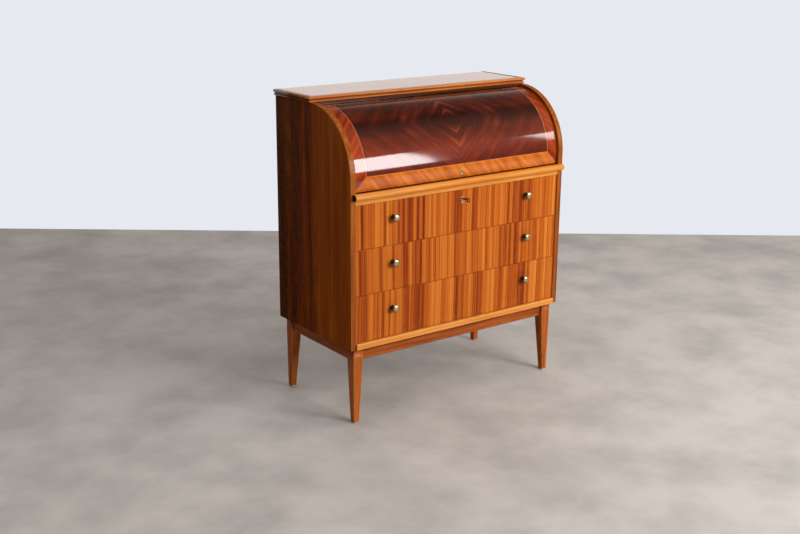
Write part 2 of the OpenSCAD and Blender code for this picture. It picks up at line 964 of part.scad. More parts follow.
// A lock case behind the front, with the pin that the hollow key turns on
module drawer_lock() {
    chamber_r = key_bit + chamber_room;
    color(brass) placed() {
        difference() {
            block([-lock_w / 2, lock_w / 2], [box_front_y, box_front_y + lock_depth],
                  [lock_z - lock_h / 2, lock_z + lock_h / 2]);
            translate([0, box_front_y + lock_depth - lock_wall, lock_z]) rotate([90, 0, 0])
                cylinder(r = chamber_r, h = lock_depth - 2 * lock_wall);
            translate([0, box_front_y, lock_z])
                keyhole(drawer_hole, 4 * lock_wall);
        }
        translate([0, box_front_y + lock_depth - lock_wall, lock_z]) rotate([90, 0, 0])
            cylinder(r = key_r / 2, h = pin_h);
    }
}

// A pipe key: hollow shank, bit at the inner end, ring at the outer end
module drawer_key() {
    key_in_y = box_front_y + lock_depth - lock_wall - key_end_gap;
    bow_w = 2.6;
    bow_bury = 1;
    bit_t = 1.8;
    bit_w = 5;
    bit_set = 1;
    shank = key_in_y - bow_y - bow_r + bow_bury;
    color(black_wood) placed() translate([0, 0, lock_z]) difference() {
        union() {
            translate([0, key_in_y, 0]) rotate([90, 0, 0]) cylinder(r = key_r, h = shank);
            block([-bit_t / 2, bit_t / 2], [key_in_y - bit_w - bit_set, key_in_y - bit_set],
                  [-key_bit, 0]);
            translate([-bow_w / 2, bow_y, 0]) rotate([0, 90, 0]) difference() {
                cylinder(r = bow_r, h = bow_w);
                translate([0, 0, -cut]) cylinder(r = bow_r * bow_hole, h = bow_w + 2 * cut);
            }
        }
        translate([0, key_in_y + cut, 0]) rotate([90, 0, 0])
            cylinder(r = key_r / 2 + running_gap, h = pin_h + cut);
    }
}

side_panel_left();
side_panel_right();
bottom_board();
bottom_rail();
dust_board();
slide_rail();
case_floor();
top_board();
top_moulding_front();
top_moulding_ends();
top_rail();
back_panel();
leg_front_left();
leg_front_right();
leg_back_left();
leg_back_right();
apron_front();
apron_back();
apron_sides();
foot_glides();
corner_blocks();
base_screws();
drawer_runners();
pivot_bolts();
tail_stop();
unit_sides();
unit_top();
unit_back();
unit_shelf();
unit_partitions();
cylinder_shell();
quadrant_left();
quadrant_right();
cylinder_escutcheon();
cylinder_lock();
writing_board();
slide_nosing();
slide_stop_pegs();
top_drawer_front();
top_drawer_frame();
top_drawer_bottom();
top_drawer_knob_stems();
top_drawer_knob_caps();
middle_drawer_front();
middle_drawer_frame();
middle_drawer_bottom();
middle_drawer_knob_stems();
middle_drawer_knob_caps();
bottom_drawer_front();
bottom_drawer_frame();
bottom_drawer_bottom();
bottom_drawer_knob_stems();
bottom_drawer_knob_caps();
drawer_escutcheon();
drawer_lock();
drawer_key();
inner_drawer_left();
inner_drawer_right();
inner_knob_left();
inner_knob_right();
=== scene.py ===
import bpy
import numpy as np
from mathutils import Matrix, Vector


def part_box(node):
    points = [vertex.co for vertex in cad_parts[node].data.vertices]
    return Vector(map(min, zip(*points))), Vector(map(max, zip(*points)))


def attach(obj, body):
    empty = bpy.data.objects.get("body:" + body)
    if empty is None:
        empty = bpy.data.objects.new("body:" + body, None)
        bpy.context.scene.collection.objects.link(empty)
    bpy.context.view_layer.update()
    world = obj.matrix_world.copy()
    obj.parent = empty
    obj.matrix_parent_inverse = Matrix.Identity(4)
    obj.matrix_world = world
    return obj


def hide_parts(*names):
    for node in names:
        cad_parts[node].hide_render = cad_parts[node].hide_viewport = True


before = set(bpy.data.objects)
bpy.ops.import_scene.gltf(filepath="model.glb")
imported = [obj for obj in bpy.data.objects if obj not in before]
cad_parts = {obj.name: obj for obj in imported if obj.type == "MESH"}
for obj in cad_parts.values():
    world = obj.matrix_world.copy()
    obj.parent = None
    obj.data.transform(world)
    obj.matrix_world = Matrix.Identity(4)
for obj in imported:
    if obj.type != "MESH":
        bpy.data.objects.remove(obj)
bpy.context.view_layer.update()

# ---- Legs ----
# Four legs of solid mahogany, square at the apron and tapered below it on all four faces, with
# the arrises taken off with a block plane. Glued into the corners of the base frame and varnished.


def rounded(corners, radii, inset=0.0, steps=4, band=6.0):
    """A closed outline, counter-clockwise. The polygon is drawn in by the inset, each corner is an
    arc of its radius less the inset, and one more point stands a band before and after each arc.
    Gives the points and how worn each is: 1 on a small arc, 0 elsewhere."""
    corners = np.array(corners, float)
    radii = np.array(radii, float)
    r = np.maximum(radii - inset, 0.3)
    along = np.roll(corners, -1, 0) - corners
    along /= np.linalg.norm(along, axis=1)[:, None]
    out = np.stack([along[:, 1], -along[:, 0]], 1)
    out_before = np.roll(out, 1, 0)
    cosine = (out * out_before).sum(1)
    centre = corners - (inset + r)[:, None] * (out + out_before) / (1 + cosine)[:, None]
    turn = np.arccos(np.clip(cosine, -1, 1))
    first = np.arctan2(out_before[:, 1], out_before[:, 0])
    angle = first[:, None] + turn[:, None] * np.linspace(0, 1, steps + 1)
    arc = centre[:, None] + r[:, None, None] * np.stack([np.cos(angle), np.sin(angle)], -1)
    straight = ((np.roll(arc[:, 0], -1, 0) - arc[:, -1]) * along).sum(1)
    reach = np.minimum(band, 0.45 * straight)
    after = arc[:, -1] + along * reach[:, None]
    before = arc[:, 0] - np.roll(along * reach[:, None], 1, 0)
    points = np.concatenate([before[:, None], arc, after[:, None]], 1)
    worn = np.zeros(points.shape[:2])
    worn[:, 1:-1] = (radii < 8)[:, None]
    return points.reshape(-1, 2), worn.ravel()


def stack(rings, worn):
    """Rings of as many points each, joined in order by quads, with a flat face on the first and
    the last. Counter-clockwise rings that rise along their axis give faces that point outwards."""
    count, n = rings.shape[:2]
    row, col = np.meshgrid(np.arange(count - 1) * n, np.arange(n), indexing="ij")
    on = (col + 1) % n
    quads = np.stack([row + col, row + on, row + n + on, row + n + col], -1).reshape(-1, 4)
    ends = [np.arange(n)[None, ::-1], (count - 1) * n + np.arange(n)[None]]
    return rings.reshape(-1, 3), [quads, *ends], worn.ravel()


def arris_steps(low, high, arris, width):
    """The insets, heights and wear of a solid's rings from its low end to its high end: at each end
    the outline is drawn in round a quarter circle whose radius is the arris."""
    first, last = arris if isinstance(arris, tuple) else (arris, arris)
    band = min(6.0, 0.45 * (high - low - first - last))
    inner = min(6.0, 0.3 * width)
    q = np.radians([0, 30, 60, 90])
    inset, rise = [], []
    for r in (first, last):
        inset.append(np.concatenate([[r + inner], r * (1 - np.sin(q)), [0]]))
        rise.append(np.concatenate([[0], r * (1 - np.cos(q)), [r + band]]))
    worn = np.array([0, 0.5, 1, 1, 0.5, 0])
    return (np.concatenate([inset[0], inset[1][::-1]]), np.concatenate([low + rise[0], high - rise[1][::-1]]),
            np.concatenate([worn * (first > 0.1), worn[::-1] * (last > 0.1)]))


def slab(corners, radii, low, high, axis, arris=1.2, steps=4):
    """A solid of one outline from low to high along an axis (0, 1 or 2), with rounded end arrises.
    The outline lies in the plane of the next two axes, in cyclic order."""
    width = np.ptp(np.array(corners, float), axis=0).min()
    insets, heights, wear = arris_steps(low, high, arris, width)
    drawn = [rounded(corners, radii, i, steps) for i in insets]
    flat = np.stack([d[0] for d in drawn])
    rings = np.empty(flat.shape[:2] + (3,))
    rings[..., axis] = heights[:, None]
    rings[..., (axis + 1) % 3] = flat[..., 0]
    rings[..., (axis + 2) % 3] = flat[..., 1]
    on_side = (insets == 0)[:, None]
    worn = np.maximum(wear[:, None], np.stack([d[1] for d in drawn]) * np.where(on_side, 1, 0.5))
    return stack(rings, worn)


def outline(low, high, axis):
    """The four corners of a box seen along an axis, in the plane of the next two axes."""
    a, b = (axis + 1) % 3, (axis + 2) % 3
    return [(low[a], low[b]), (high[a], low[b]), (high[a], high[b]), (low[a], high[b])]


def board(low, high, axis, arris=1.2):
    """A board between two corners that is thin along an axis, with all its arrises rounded."""
    return slab(outline(low, high, axis), [arris * 1.3] * 4, low[axis], high[axis], axis, arris)


def piece(name, parts, finish, body, nodes):
    """Joins parts, in millimetres, into one smooth mesh at the origin that rides on a body and
    stands for its CAD nodes. Flat faces keep flat shading, as each corner follows its widest face."""
    start, points, faces, worn = 0, [], [], []
    for part_points, part_faces, part_worn in parts:
        points.append(part_points)
        worn.append(part_worn)
        for rows in part_faces:
            faces += (rows + start).tolist()
        start += len(part_points)
    mesh = bpy.data.meshes.new(name)
    mesh.from_pydata((np.concatenate(points) * 0.001).tolist(), [], faces)
    mesh.attributes.new("worn", "FLOAT", "POINT").data.foreach_set(
        "value", np.concatenate(worn).astype(np.float32))
    mesh.shade_smooth()
    made = bpy.data.objects.new(name, mesh)
    bpy.context.scene.collection.objects.link(made)
    weighted = made.modifiers.new("flat faces", "WEIGHTED_NORMAL")
    weighted.keep_sharp = False
    for each in finish if isinstance(finish, list) else [finish]:
        mesh.materials.append(each)
    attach(made, body)
    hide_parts(*nodes)
    return made


def linear(code):
    """A colour's linear values and full alpha, from its sRGB hex code."""
    s = np.array([int(code[i:i + 2], 16) for i in (1, 3, 5)]) / 255
    return (*np.where(s <= 0.04045, s / 12.92, ((s + 0.055) / 1.055) ** 2.4).tolist(), 1.0)


def add(tree, kind, sockets=None, stops=(), **settings):
    """Adds a node, sets its own settings, fills its sockets with values or with other nodes'
    outputs, and gives a colour ramp its stops, each a place and a hex colour."""
    node = tree.nodes.new(kind)
    for key, value in settings.items():
        setattr(node, key, value)
    for key, value in (sockets or {}).items():
        if isinstance(value, bpy.types.NodeSocket):
            tree.links.new(value, node.inputs[key])
        else:
            node.inputs[key].default_value = value
    if stops:
        elements = node.color_ramp.elements
        elements[0].position, elements[0].color = stops[0][0], linear(stops[0][1])
        elements[1].position, elements[1].color = stops[-1][0], linear(stops[-1][1])
        for place, code in stops[1:-1]:
            elements.new(place).color = linear(code)
    return node


def varnish(tree, colour, height, rub, gloss, coat, coat_rough, depth, shine=0.08, tint="#f0b070"):
    """The finish over a wood's colour: arrises rubbed through to the rub colour, a sheen that
    follows the fibres, their relief, and a clear coat. The fibres' own sheen comes back through
    the varnish in its tint."""
    where = add(tree, "ShaderNodeTexCoord")
    patchy = add(tree, "ShaderNodeTexNoise",
                 {"Vector": where.outputs["Object"], "Scale": 42.0, "Detail": 3.0})
    worn = add(tree, "ShaderNodeAttribute", attribute_name="worn")
    amount = add(tree, "ShaderNodeMath", {0: worn.outputs["Fac"], 1: patchy.outputs["Fac"]},
                 operation="MULTIPLY")
    eased = add(tree, "ShaderNodeMapRange",
                {"Value": amount.outputs[0], "From Min": 0.2, "From Max": 0.75, "To Max": 0.55})
    rubbed = add(tree, "ShaderNodeMix", {0: eased.outputs[0], 6: colour, 7: linear(rub)},
                 data_type="RGBA")
    sheen = add(tree, "ShaderNodeMapRange",
                {"Value": height, "From Min": 0.3, "From Max": 0.7, "To Min": gloss + 0.08,
                 "To Max": gloss - 0.05})
    relief = add(tree, "ShaderNodeBump", {"Height": height, "Strength": 0.35, "Distance": depth})
    shader = tree.nodes["Principled BSDF"]
    tree.links.new(rubbed.outputs[2], shader.inputs["Base Color"])
    tree.links.new(sheen.outputs[0], shader.inputs["Roughness"])
    tree.links.new(relief.outputs["Normal"], shader.inputs["Normal"])
    shader.inputs["IOR"].default_value = 1.5
    shader.inputs["Specular IOR Level"].default_value = shine
    shader.inputs["Specular Tint"].default_value = linear(tint)
    shader.inputs["Coat Weight"].default_value = coat
    shader.inputs["Coat Roughness"].default_value = coat_rough


def timber(name, grain, tones, rub, band=30.0, fibre=4.0, stretch=14.0, mix=0.35, gloss=0.4,
           coat=0.1, coat_rough=0.12, depth=0.0002, shine=0.08):
    """Straight-grained wood with its grain along an axis: slow bands and finer fibres of the given
    widths in millimetres, both drawn out along the grain, read through a dark, a middle and a
    light tone."""
    wood = bpy.data.materials.new(name)
    wood.use_nodes = True
    tree = wood.node_tree
    where = add(tree, "ShaderNodeTexCoord")
    squeeze = [1.0, 1.0, 1.0]
    squeeze[grain] = 1 / stretch
    drawn = add(tree, "ShaderNodeMapping", {"Vector": where.outputs["Object"], "Scale": squeeze})
    bands = add(tree, "ShaderNodeTexNoise",
                {"Vector": drawn.outputs[0], "Scale": 1000 / band, "Detail": 2.0, "Distortion": 0.5})
    fibres = add(tree, "ShaderNodeTexNoise",
                 {"Vector": drawn.outputs[0], "Scale": 1000 / fibre, "Detail": 3.0, "Roughness": 0.6})
    figure = add(tree, "ShaderNodeMix", {0: mix, 2: bands.outputs["Fac"], 3: fibres.outputs["Fac"]})
    tone_at = add(tree, "ShaderNodeValToRGB", {"Fac": figure.outputs[0]}, list(zip((0.3, 0.5, 0.7), tones)))
    varnish(tree, tone_at.outputs["Color"], fibres.outputs["Fac"], rub, gloss, coat, coat_rough, depth, shine)
    return wood


def box_of(node):
    """A CAD node's lowest and highest corner in millimetres."""
    return [np.array(corner) * 1000 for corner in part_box(node)]


# Varnished mahogany, orange brown, with the long straight grain of quartered stock
leg_mahogany = timber("mahogany_legs", 2, ("#783512", "#a2541e", "#bc6a2a"),
                      "#cc8442", band=14, fibre=3, stretch=22)
# The side at the foot and at the head, and how far the outer faces lean in
leg_foot, leg_head, leg_lean = 21.0, 38.0, 2.0
# The carcass's middle stands this far behind the origin
carcass_y = 18.0
for side, x_way in (("left", -1), ("right", 1)):
    for end, y_way in (("front", -1), ("back", 1)):
        node = f"leg_{end}_{side}"
        low, high = box_of(node)
        apron_z = box_of("apron_front")[0][2]
        outer = np.array([high[0] if x_way > 0 else -low[0],
                          high[1] - carcass_y if y_way > 0 else carcass_y - low[1]])
        # Height, how far the outer faces lean in, side and drawing-in of each ring
        rows = [(low[2], leg_lean, leg_foot, 4.0), (low[2], leg_lean, leg_foot, 1.2),
                (low[2] + 0.4, leg_lean, leg_foot, 0.4), (low[2] + 1.2, leg_lean, leg_foot, 0.0),
                (low[2] + 8, 0.96 * leg_lean, leg_foot + 0.5, 0.0),
                (apron_z - 0.5, 0.0, leg_head, 0.0), (high[2], 0.0, leg_head, 0.0)]
        rings, worn = [], []
        for z, lean, size, inset in rows:
            near, far = outer - lean - size, outer - lean
            flat, corner_worn = rounded([near, (far[0], near[1]), far, (near[0], far[1])],
                                        [2.6] * 4, inset, 4, 5.0)
            rings.append(np.column_stack([flat * (x_way, y_way), np.full(len(flat), z)]))
            worn.append(np.maximum(corner_worn, 0.8 if z < low[2] + 2 else 0.0))
        rings = np.stack(rings)
        if x_way * y_way < 0:
            rings = rings[:, ::-1]
            worn = [w[::-1] for w in worn]
        rings[..., 1] += carcass_y
        piece(f"{end}_{side}_leg", [stack(rings, np.stack(worn))], leg_mahogany, "carcass",
              [node])

# ---- Aprons ----
# Four rails of the same mahogany between the legs, set back from the legs' faces, each with its
# lower outer edge rounded over by hand. They are tenoned and glued into the legs.
apron_along_x, apron_along_y = [
    timber(f"mahogany_aprons_{run}", grain, ("#642a10", "#8c4219", "#a95a26"), "#b8733c", band=16,
           fibre=3, stretch=22) for run, grain in (("front", 0), ("sides", 1))]
apron_t, apron_round = 18.0, 7.0
for end, radii in (("front", [apron_round, 1, 0.6, 0.6]), ("back", [1, apron_round, 0.6, 0.6])):
    low, high = box_of(f"apron_{end}")
    piece(f"{end}_apron", [slab(outline(low, high, 0), radii, low[0], high[0], 0, 0.5)],
          apron_along_x, "carcass", [f"apron_{end}"])
low, high = box_of("apron_sides")
right_low, left_high = (high[0] - apron_t, *low[1:]), (low[0] + apron_t, *high[1:])
piece("side_aprons",
      [slab(outline(right_low, high, 1), [1, 0.6, 0.6, apron_round], low[1], high[1], 1, 0.5),
       slab(outline(low, left_high, 1), [apron_round, 0.6, 0.6, 1], low[1], high[1], 1, 0.5)],
      apron_along_y, "carcass", ["apron_sides"])

# ---- Glides, corner blocks and screws ----
# Nylon glides nailed under the feet, and blocks of pine glued inside the frame's corners, through
# which steel screws hold the cabinet down on its base.


def turned(profile, centre, steps=40, wear=0.0):
    """A turned solid whose axis points to the front: rings of each (radius, length) of the profile
    round the centre, closed by small flat ends."""
    profile = np.array(profile, float)
    turn = np.linspace(0, 2 * np.pi, steps, endpoint=False)
    r, length = np.maximum(profile[:, 0], 0.15)[:, None], profile[:, 1][:, None]
    rings = np.stack([centre[0] + r * np.cos(turn), centre[1] - length + 0 * turn,
                      centre[2] + r * np.sin(turn)], -1)
    return stack(rings, np.full(rings.shape[:2], wear))


def curve_through(points, between=5):
    """More points along a smooth curve through the given ones: a cubic whose slope at each point is
    half the step from the point before it to the point after."""
    p = np.array(points, float)
    slope = np.gradient(p, axis=0)
    t = np.linspace(0, 1, between, endpoint=False)[:, None]
    a, b, da, db = p[:-1, None], p[1:, None], slope[:-1, None], slope[1:, None]
    path = ((2 * t**3 - 3 * t**2 + 1) * a + (t**3 - 2 * t**2 + t) * da
            + (3 * t**2 - 2 * t**3) * b + (t**3 - t**2) * db)
    return np.concatenate([path.reshape(-1, p.shape[1]), p[-1:]])


def speckled(name, base, spot, size, gloss, metallic=0.0, coat=0.0):
    """A plain finish with soft marks of a size in millimetres: their colour, dullness and relief all
    follow one noise."""
    finish = bpy.data.materials.new(name)
    finish.use_nodes = True
    tree = finish.node_tree
    where = add(tree, "ShaderNodeTexCoord")
    marks = add(tree, "ShaderNodeTexNoise", {"Vector": where.outputs["Object"], "Scale": 1000 / size,
                                             "Detail": 4.0, "Roughness": 0.6})
    marked = add(tree, "ShaderNodeValToRGB", {"Fac": marks.outputs["Fac"]}, [(0.35, spot), (0.6, base)])
    shader = tree.nodes["Principled BSDF"]
    tree.links.new(marked.outputs["Color"], shader.inputs["Base Color"])
    dull = add(tree, "ShaderNodeMapRange", {"Value": marks.outputs["Fac"], "From Min": 0.3, "From Max": 0.7,
                                            "To Min": gloss + 0.12, "To Max": gloss - 0.04})
    tree.links.new(dull.outputs[0], shader.inputs["Roughness"])
    relief = add(tree, "ShaderNodeBump", {"Height": marks.outputs["Fac"], "Strength": 0.3,
                                           "Distance": 0.00005})
    tree.links.new(relief.outputs["Normal"], shader.inputs["Normal"])
    shader.inputs["Metallic"].default_value = metallic
    shader.inputs["IOR"].default_value = 1.5
    shader.inputs["Coat Weight"].default_value = coat
    return finish


def finish_node(finish, *nodes):
    """Gives CAD nodes that stay in view a finish in place of their plain colours."""
    for node in nodes:
        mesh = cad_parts[node].data
        mesh.materials.clear()
        mesh.materials.append(finish)


# Moulded nylon, off white, scuffed grey by the floor
glide_nylon = speckled("nylon_glides", "#e4e0d4", "#b8b2a4", 3.0, 0.45)
low, high = box_of("foot_glides")
glides, glide_r = [], 8.0
for x in (low[0] + glide_r, high[0] - glide_r):
    for y in (low[1] + glide_r, high[1] - glide_r):
        points, faces, worn = turned([(6.6, 0), (7.6, 0.3), (glide_r, 1.0), (glide_r, 3.0)], (0, 0, 0), 32)
        glides.append((np.stack([points[:, 0] + x, points[:, 2] + y, -points[:, 1]], -1), faces, worn))
piece("foot_glides_nailed", glides, glide_nylon, "carcass", ["foot_glides"])
# Sawn pine, yellow with brown growth bands 4 mm wide, unfinished
frame_pine = timber("pine_blocks", 2, ("#9c6a34", "#c79a5c", "#d9b47a"), "#e0c492",
                    band=12, fibre=4, stretch=12, gloss=0.62, coat=0.0)
finish_node(frame_pine, "corner_blocks")
# Bright steel screws, zinc plated
screw_steel = speckled("zinc_plated_steel_screws", "#b4b6b4", "#85878a", 2.0, 0.35, 1.0)
finish_node(screw_steel, "base_screws")

# ---- Carcass boards ----
# The bottom, the dust board under the writing board and the floor of the writing compartment are
# of blockboard, let into grooves in the side panels and veneered plainly, as they are out of sight.
inside_veneer = timber("plain_inside_veneer", 0, ("#7c4a26", "#9c6338", "#b07a4a"),
                       "#c09060", band=40, fibre=5, gloss=0.5, coat=0.15)
for name, node in (("bottom_board_let_in", "bottom_board"), ("compartment_floor", "case_floor")):
    piece(name, [board(*box_of(node), 2, 0.8)], inside_veneer, "carcass", [node])
finish_node(inside_veneer, "dust_board")

# ---- Rails ----
# Two strips of solid light wood across the front: one edges the bottom board and stands a little
# proud with its front arrises eased, the other edges the dust board under the writing board.
rail_birch = timber("stained_birch_rails", 0, ("#b86e28", "#cc8236", "#da9444"),
                    "#e0aa66", band=9, fibre=2.5, stretch=30, gloss=0.34, coat=0.2, coat_rough=0.12)
for name, node, ease in (("bottom_rail_eased", "bottom_rail", 2.5), ("slide_rail_planed", "slide_rail", 1.2)):
    low, high = box_of(node)
    piece(name, [slab(outline(low, high, 0), [ease, 0.6, 0.6, ease], low[0], high[0], 0, 0.3)],
          rail_birch, "carcass", [node])

# ---- Side panels ----
# Blockboard sides veneered outside and in with dark mahogany, whose leaves run upright. A strip of
# lighter mahogany covers the front edge and the quarter circle at the top; a rabbet takes the back.


def side_veneer():
    """Upright grain: soft bands and fine fibres, drawn out with the height, and growth lines of
    uneven spacing, which are the sine of a slow noise times a count. Painted light makes it
    lighter towards the front edge, where the light falls, and darker towards the back."""
    wood = bpy.data.materials.new("mahogany_veneer_sides_painted_front_light")
    wood.use_nodes = True
    tree = wood.node_tree
    where = add(tree, "ShaderNodeTexCoord").outputs["Object"]
    y = add(tree, "ShaderNodeSeparateXYZ", {0: where}).outputs[1]
    drawn = add(tree, "ShaderNodeMapping", {"Vector": where, "Scale": (1.0, 1.0, 0.07)}).outputs[0]
    slow = add(tree, "ShaderNodeTexNoise", {"Vector": drawn, "Scale": 11.0, "Detail": 1.0}).outputs["Fac"]
    rings = add(tree, "ShaderNodeMath", {0: slow, 1: 95.0}, operation="MULTIPLY").outputs[0]
    rings = add(tree, "ShaderNodeMath", {0: rings}, operation="SINE").outputs[0]
    fine_at = add(tree, "ShaderNodeMapping", {"Vector": where, "Scale": (1.0, 1.0, 0.04)}).outputs[0]
    bands = add(tree, "ShaderNodeTexNoise",
                {"Vector": fine_at, "Scale": 26.0, "Detail": 2.0}).outputs["Fac"]
    fibres = add(tree, "ShaderNodeTexNoise",
                 {"Vector": fine_at, "Scale": 300.0, "Detail": 3.0}).outputs["Fac"]
    figure = add(tree, "ShaderNodeMix", {0: 0.35, 2: bands, 3: fibres}).outputs[0]
    lined = add(tree, "ShaderNodeMath",
                {0: rings, 1: 0.045, 2: figure}, operation="MULTIPLY_ADD").outputs[0]
    # Painted light: the tone is raised towards the front edge and lowered towards the back, as light falling
    # from the front would do
    ahead = add(tree, "ShaderNodeMapRange", {"Value": y, "From Min": 0.22, "From Max": -0.20,
                                             "To Min": -0.10, "To Max": 0.15}).outputs[0]
    soft = add(tree, "ShaderNodeMath", {0: lined, 1: 0.6, 2: 0.21}, operation="MULTIPLY_ADD").outputs[0]
    tone = add(tree, "ShaderNodeMath", {0: soft, 1: ahead}, operation="ADD").outputs[0]
    colour = add(tree, "ShaderNodeValToRGB", {"Fac": tone},
                 [(0.34, "#3c1600"), (0.44, "#5c2803"), (0.52, "#7c3604"), (0.62, "#964808"),
                  (0.72, "#a85c14")]).outputs["Color"]
    varnish(tree, colour, fibres, "#96542a", 0.5, 0.0, 0.2, 0.0002, 0.02)
    return wood


side_leaves = side_veneer()
edge_strip = timber("mahogany_edge_strips", 2, ("#6a3210", "#8a4819", "#a25e28"),
                    "#a8703a", band=10, fibre=2.5, stretch=30, gloss=0.45, coat=0.08)
inner_x, panel_t, rabbet_t = 430.0, 20.0, 8.0
rabbet_x, outer_x = inner_x + rabbet_t, inner_x + panel_t
for side, way in (("left", -1), ("right", 1)):
    node = f"side_panel_{side}"
    low, high = box_of(node)
    back_in = box_of("back_panel")[0][1]
    corner_r = high[1] - carcass_y
    layers = []
    for x0, x1, back, ends in ((inner_x, rabbet_x, back_in, (1.0, 0.01)),
                               (rabbet_x, outer_x, high[1], (0.01, 1.0))):
        corners = [(low[1], low[2]), (back, low[2]), (back, high[2]), (low[1], high[2])]
        span = (x0, x1) if way > 0 else (-x1, -x0)
        layers.append(slab(corners, [1.0, 0.6, 0.6, corner_r], *span, 0, ends[::way], 40))
    panel = piece(f"{side}_side_panel", layers, [side_leaves, edge_strip], "carcass", [node])
    normals = np.empty(len(panel.data.polygons) * 3, np.float32)
    panel.data.polygons.foreach_get("normal", normals)
    panel.data.polygons.foreach_set("material_index", (np.abs(normals[::3]) < 0.7).astype(np.int32))

# ---- Back panel ----
# A sheet of birch plywood let into rabbets behind the sides and pinned; it is stained, not polished.
back_birch = timber("birch_plywood_back", 2, ("#8f6236", "#ab7d4c", "#be925e"), "#cba676",
                    band=70, fibre=7, stretch=10, gloss=0.6, coat=0.0)
piece("plywood_back", [board(*box_of("back_panel"), 1, 0.4)], back_birch, "carcass", ["back_panel"])

# ---- Top ----
# A veneered board edged on three sides with a moulded lipping: a half-round lip above, a quirk, and
# a small bead below, mitred at the front corners. A thin dark rail closes the gap under its front.
top_leaves = timber("mahogany_veneer_top", 0, ("#55240e", "#7e3c18", "#964e22"),
                    "#9c5e34", band=50, fibre=5, stretch=24, mix=0.3, gloss=0.3, coat=0.9, coat_rough=0.07)
piece("top_board_veneered", [board(*box_of("top_board"), 2, 0.3)], top_leaves, "carcass", ["top_board"])
quarter = np.radians(np.linspace(-90, 90, 13))
low_bead = np.radians(np.linspace(-90, 70, 10))
lipping = np.concatenate([
    [[-12.0, 0.0], [-4.0, 0.0]],
    np.column_stack([2.5 + 3.5 * np.cos(low_bead), 3.5 + 3.5 * np.sin(low_bead)]),
    [[3.05, 7.5], [3.0, 8.2], [3.0, 10.3], [3.05, 11.0]],
    np.column_stack([4.5 + 4.5 * np.cos(quarter), 15.5 + 4.5 * np.sin(quarter)]),
    [[-4.0, 20.0], [-12.0, 20.0]]])
lip_wear_and_painted_shade = np.where(lipping[:, 0] > 8.0, 1.0, 0.0)
# Painted shade: the quirk's points get -1 and the underside's -1.5, which the lipping's finish turns into
# darker colour
lip_wear_and_painted_shade[(lipping[:, 1] > 7.2) & (lipping[:, 1] < 11.2)] = -1.0
lip_wear_and_painted_shade[lipping[:, 1] < 0.5] = -1.5
half_w, lip_front_y, lip_back_y, lip_z = 450.0, 24.0, 238.0, 1030.0


def lipping_ring(x, y):
    """The lipping's section standing at one place of its run, as points in space."""
    return np.column_stack([x + 0 * lipping[:, 0], y + 0 * lipping[:, 0], lip_z + lipping[:, 1]])


def moulded(name, grain, tones):
    """Stained birch for the lipping, in the given tones, with painted shade: darker in the quirk and on the
    underside.
    """
    wood = timber(name, grain, tones, "#cc8444", band=9, fibre=2.5, stretch=30, gloss=0.34,
                  coat=0.2, coat_rough=0.12)
    tree = wood.node_tree
    worn = add(tree, "ShaderNodeAttribute", attribute_name="worn")
    # Painted shade: where the worn attribute is below zero, in the quirk and under the lipping, the colour is
    # mixed towards dark brown
    painted_shade = add(tree, "ShaderNodeMapRange", {"Value": worn.outputs["Fac"], "From Min": 0.0, "From Max": -1.5,
                                            "To Max": 0.85})
    shader = tree.nodes["Principled BSDF"]
    before = shader.inputs["Base Color"].links[0].from_socket
    darker = add(tree, "ShaderNodeMix",
                 {0: painted_shade.outputs[0], 6: before, 7: linear("#4a200a")}, data_type="RGBA")
    tree.links.new(darker.outputs[2], shader.inputs["Base Color"])
    return wood


out = lipping[:, 0]
front_rings = np.stack([lipping_ring(way * (half_w + out), lip_front_y - out) for way in (-1, 1)])[:, ::-1]
piece("front_lipping", [stack(front_rings, np.stack([lip_wear_and_painted_shade[::-1]] * 2))],
      moulded("stained_birch_lipping_front", 0, ("#94481a", "#b0622a", "#c47838")),
      "carcass", ["top_moulding_front"])
ends = []
for way in (1, -1):
    run = [lipping_ring(way * (half_w + out), lip_back_y + 0 * out),
           lipping_ring(way * (half_w + out), lip_front_y - out)]
    ends.append(stack(np.stack(run[::way]), np.stack([lip_wear_and_painted_shade] * 2)))
# Painted shade: the end lippings are the same birch in much darker tones than the front one, standing for the
# shade on the ends
piece("end_lippings", ends,
      moulded("stained_birch_lipping_ends_painted_shade", 1, ("#4c220a", "#643012", "#7a401c")),
      "carcass", ["top_moulding_ends"])
dark_rail = timber("dark_stained_rail", 0, ("#2a1208", "#3e1d0e", "#4e2814"), "#6a3c20",
                   band=12, fibre=3, stretch=24, gloss=0.4, coat=0.4)
piece("rail_under_top", [board(*box_of("top_rail"), 2, 0.8)], dark_rail, "carcass", ["top_rail"])

# ---- Runners, stop and pivots ----
# Beech runners for the drawers are screwed to the sides, a pine batten behind the pigeonholes stops
# the open cylinder, and a steel bolt on each side carries the cylinder's quadrants.
runner_beech = timber("beech_runners", 1, ("#a8713e", "#c08d58", "#cfa06c"), "#dcb58a",
                      band=8, fibre=2.5, stretch=20, gloss=0.5, coat=0.0)
finish_node(runner_beech, "drawer_runners")
finish_node(frame_pine, "tail_stop")
finish_node(screw_steel, "pivot_bolts")

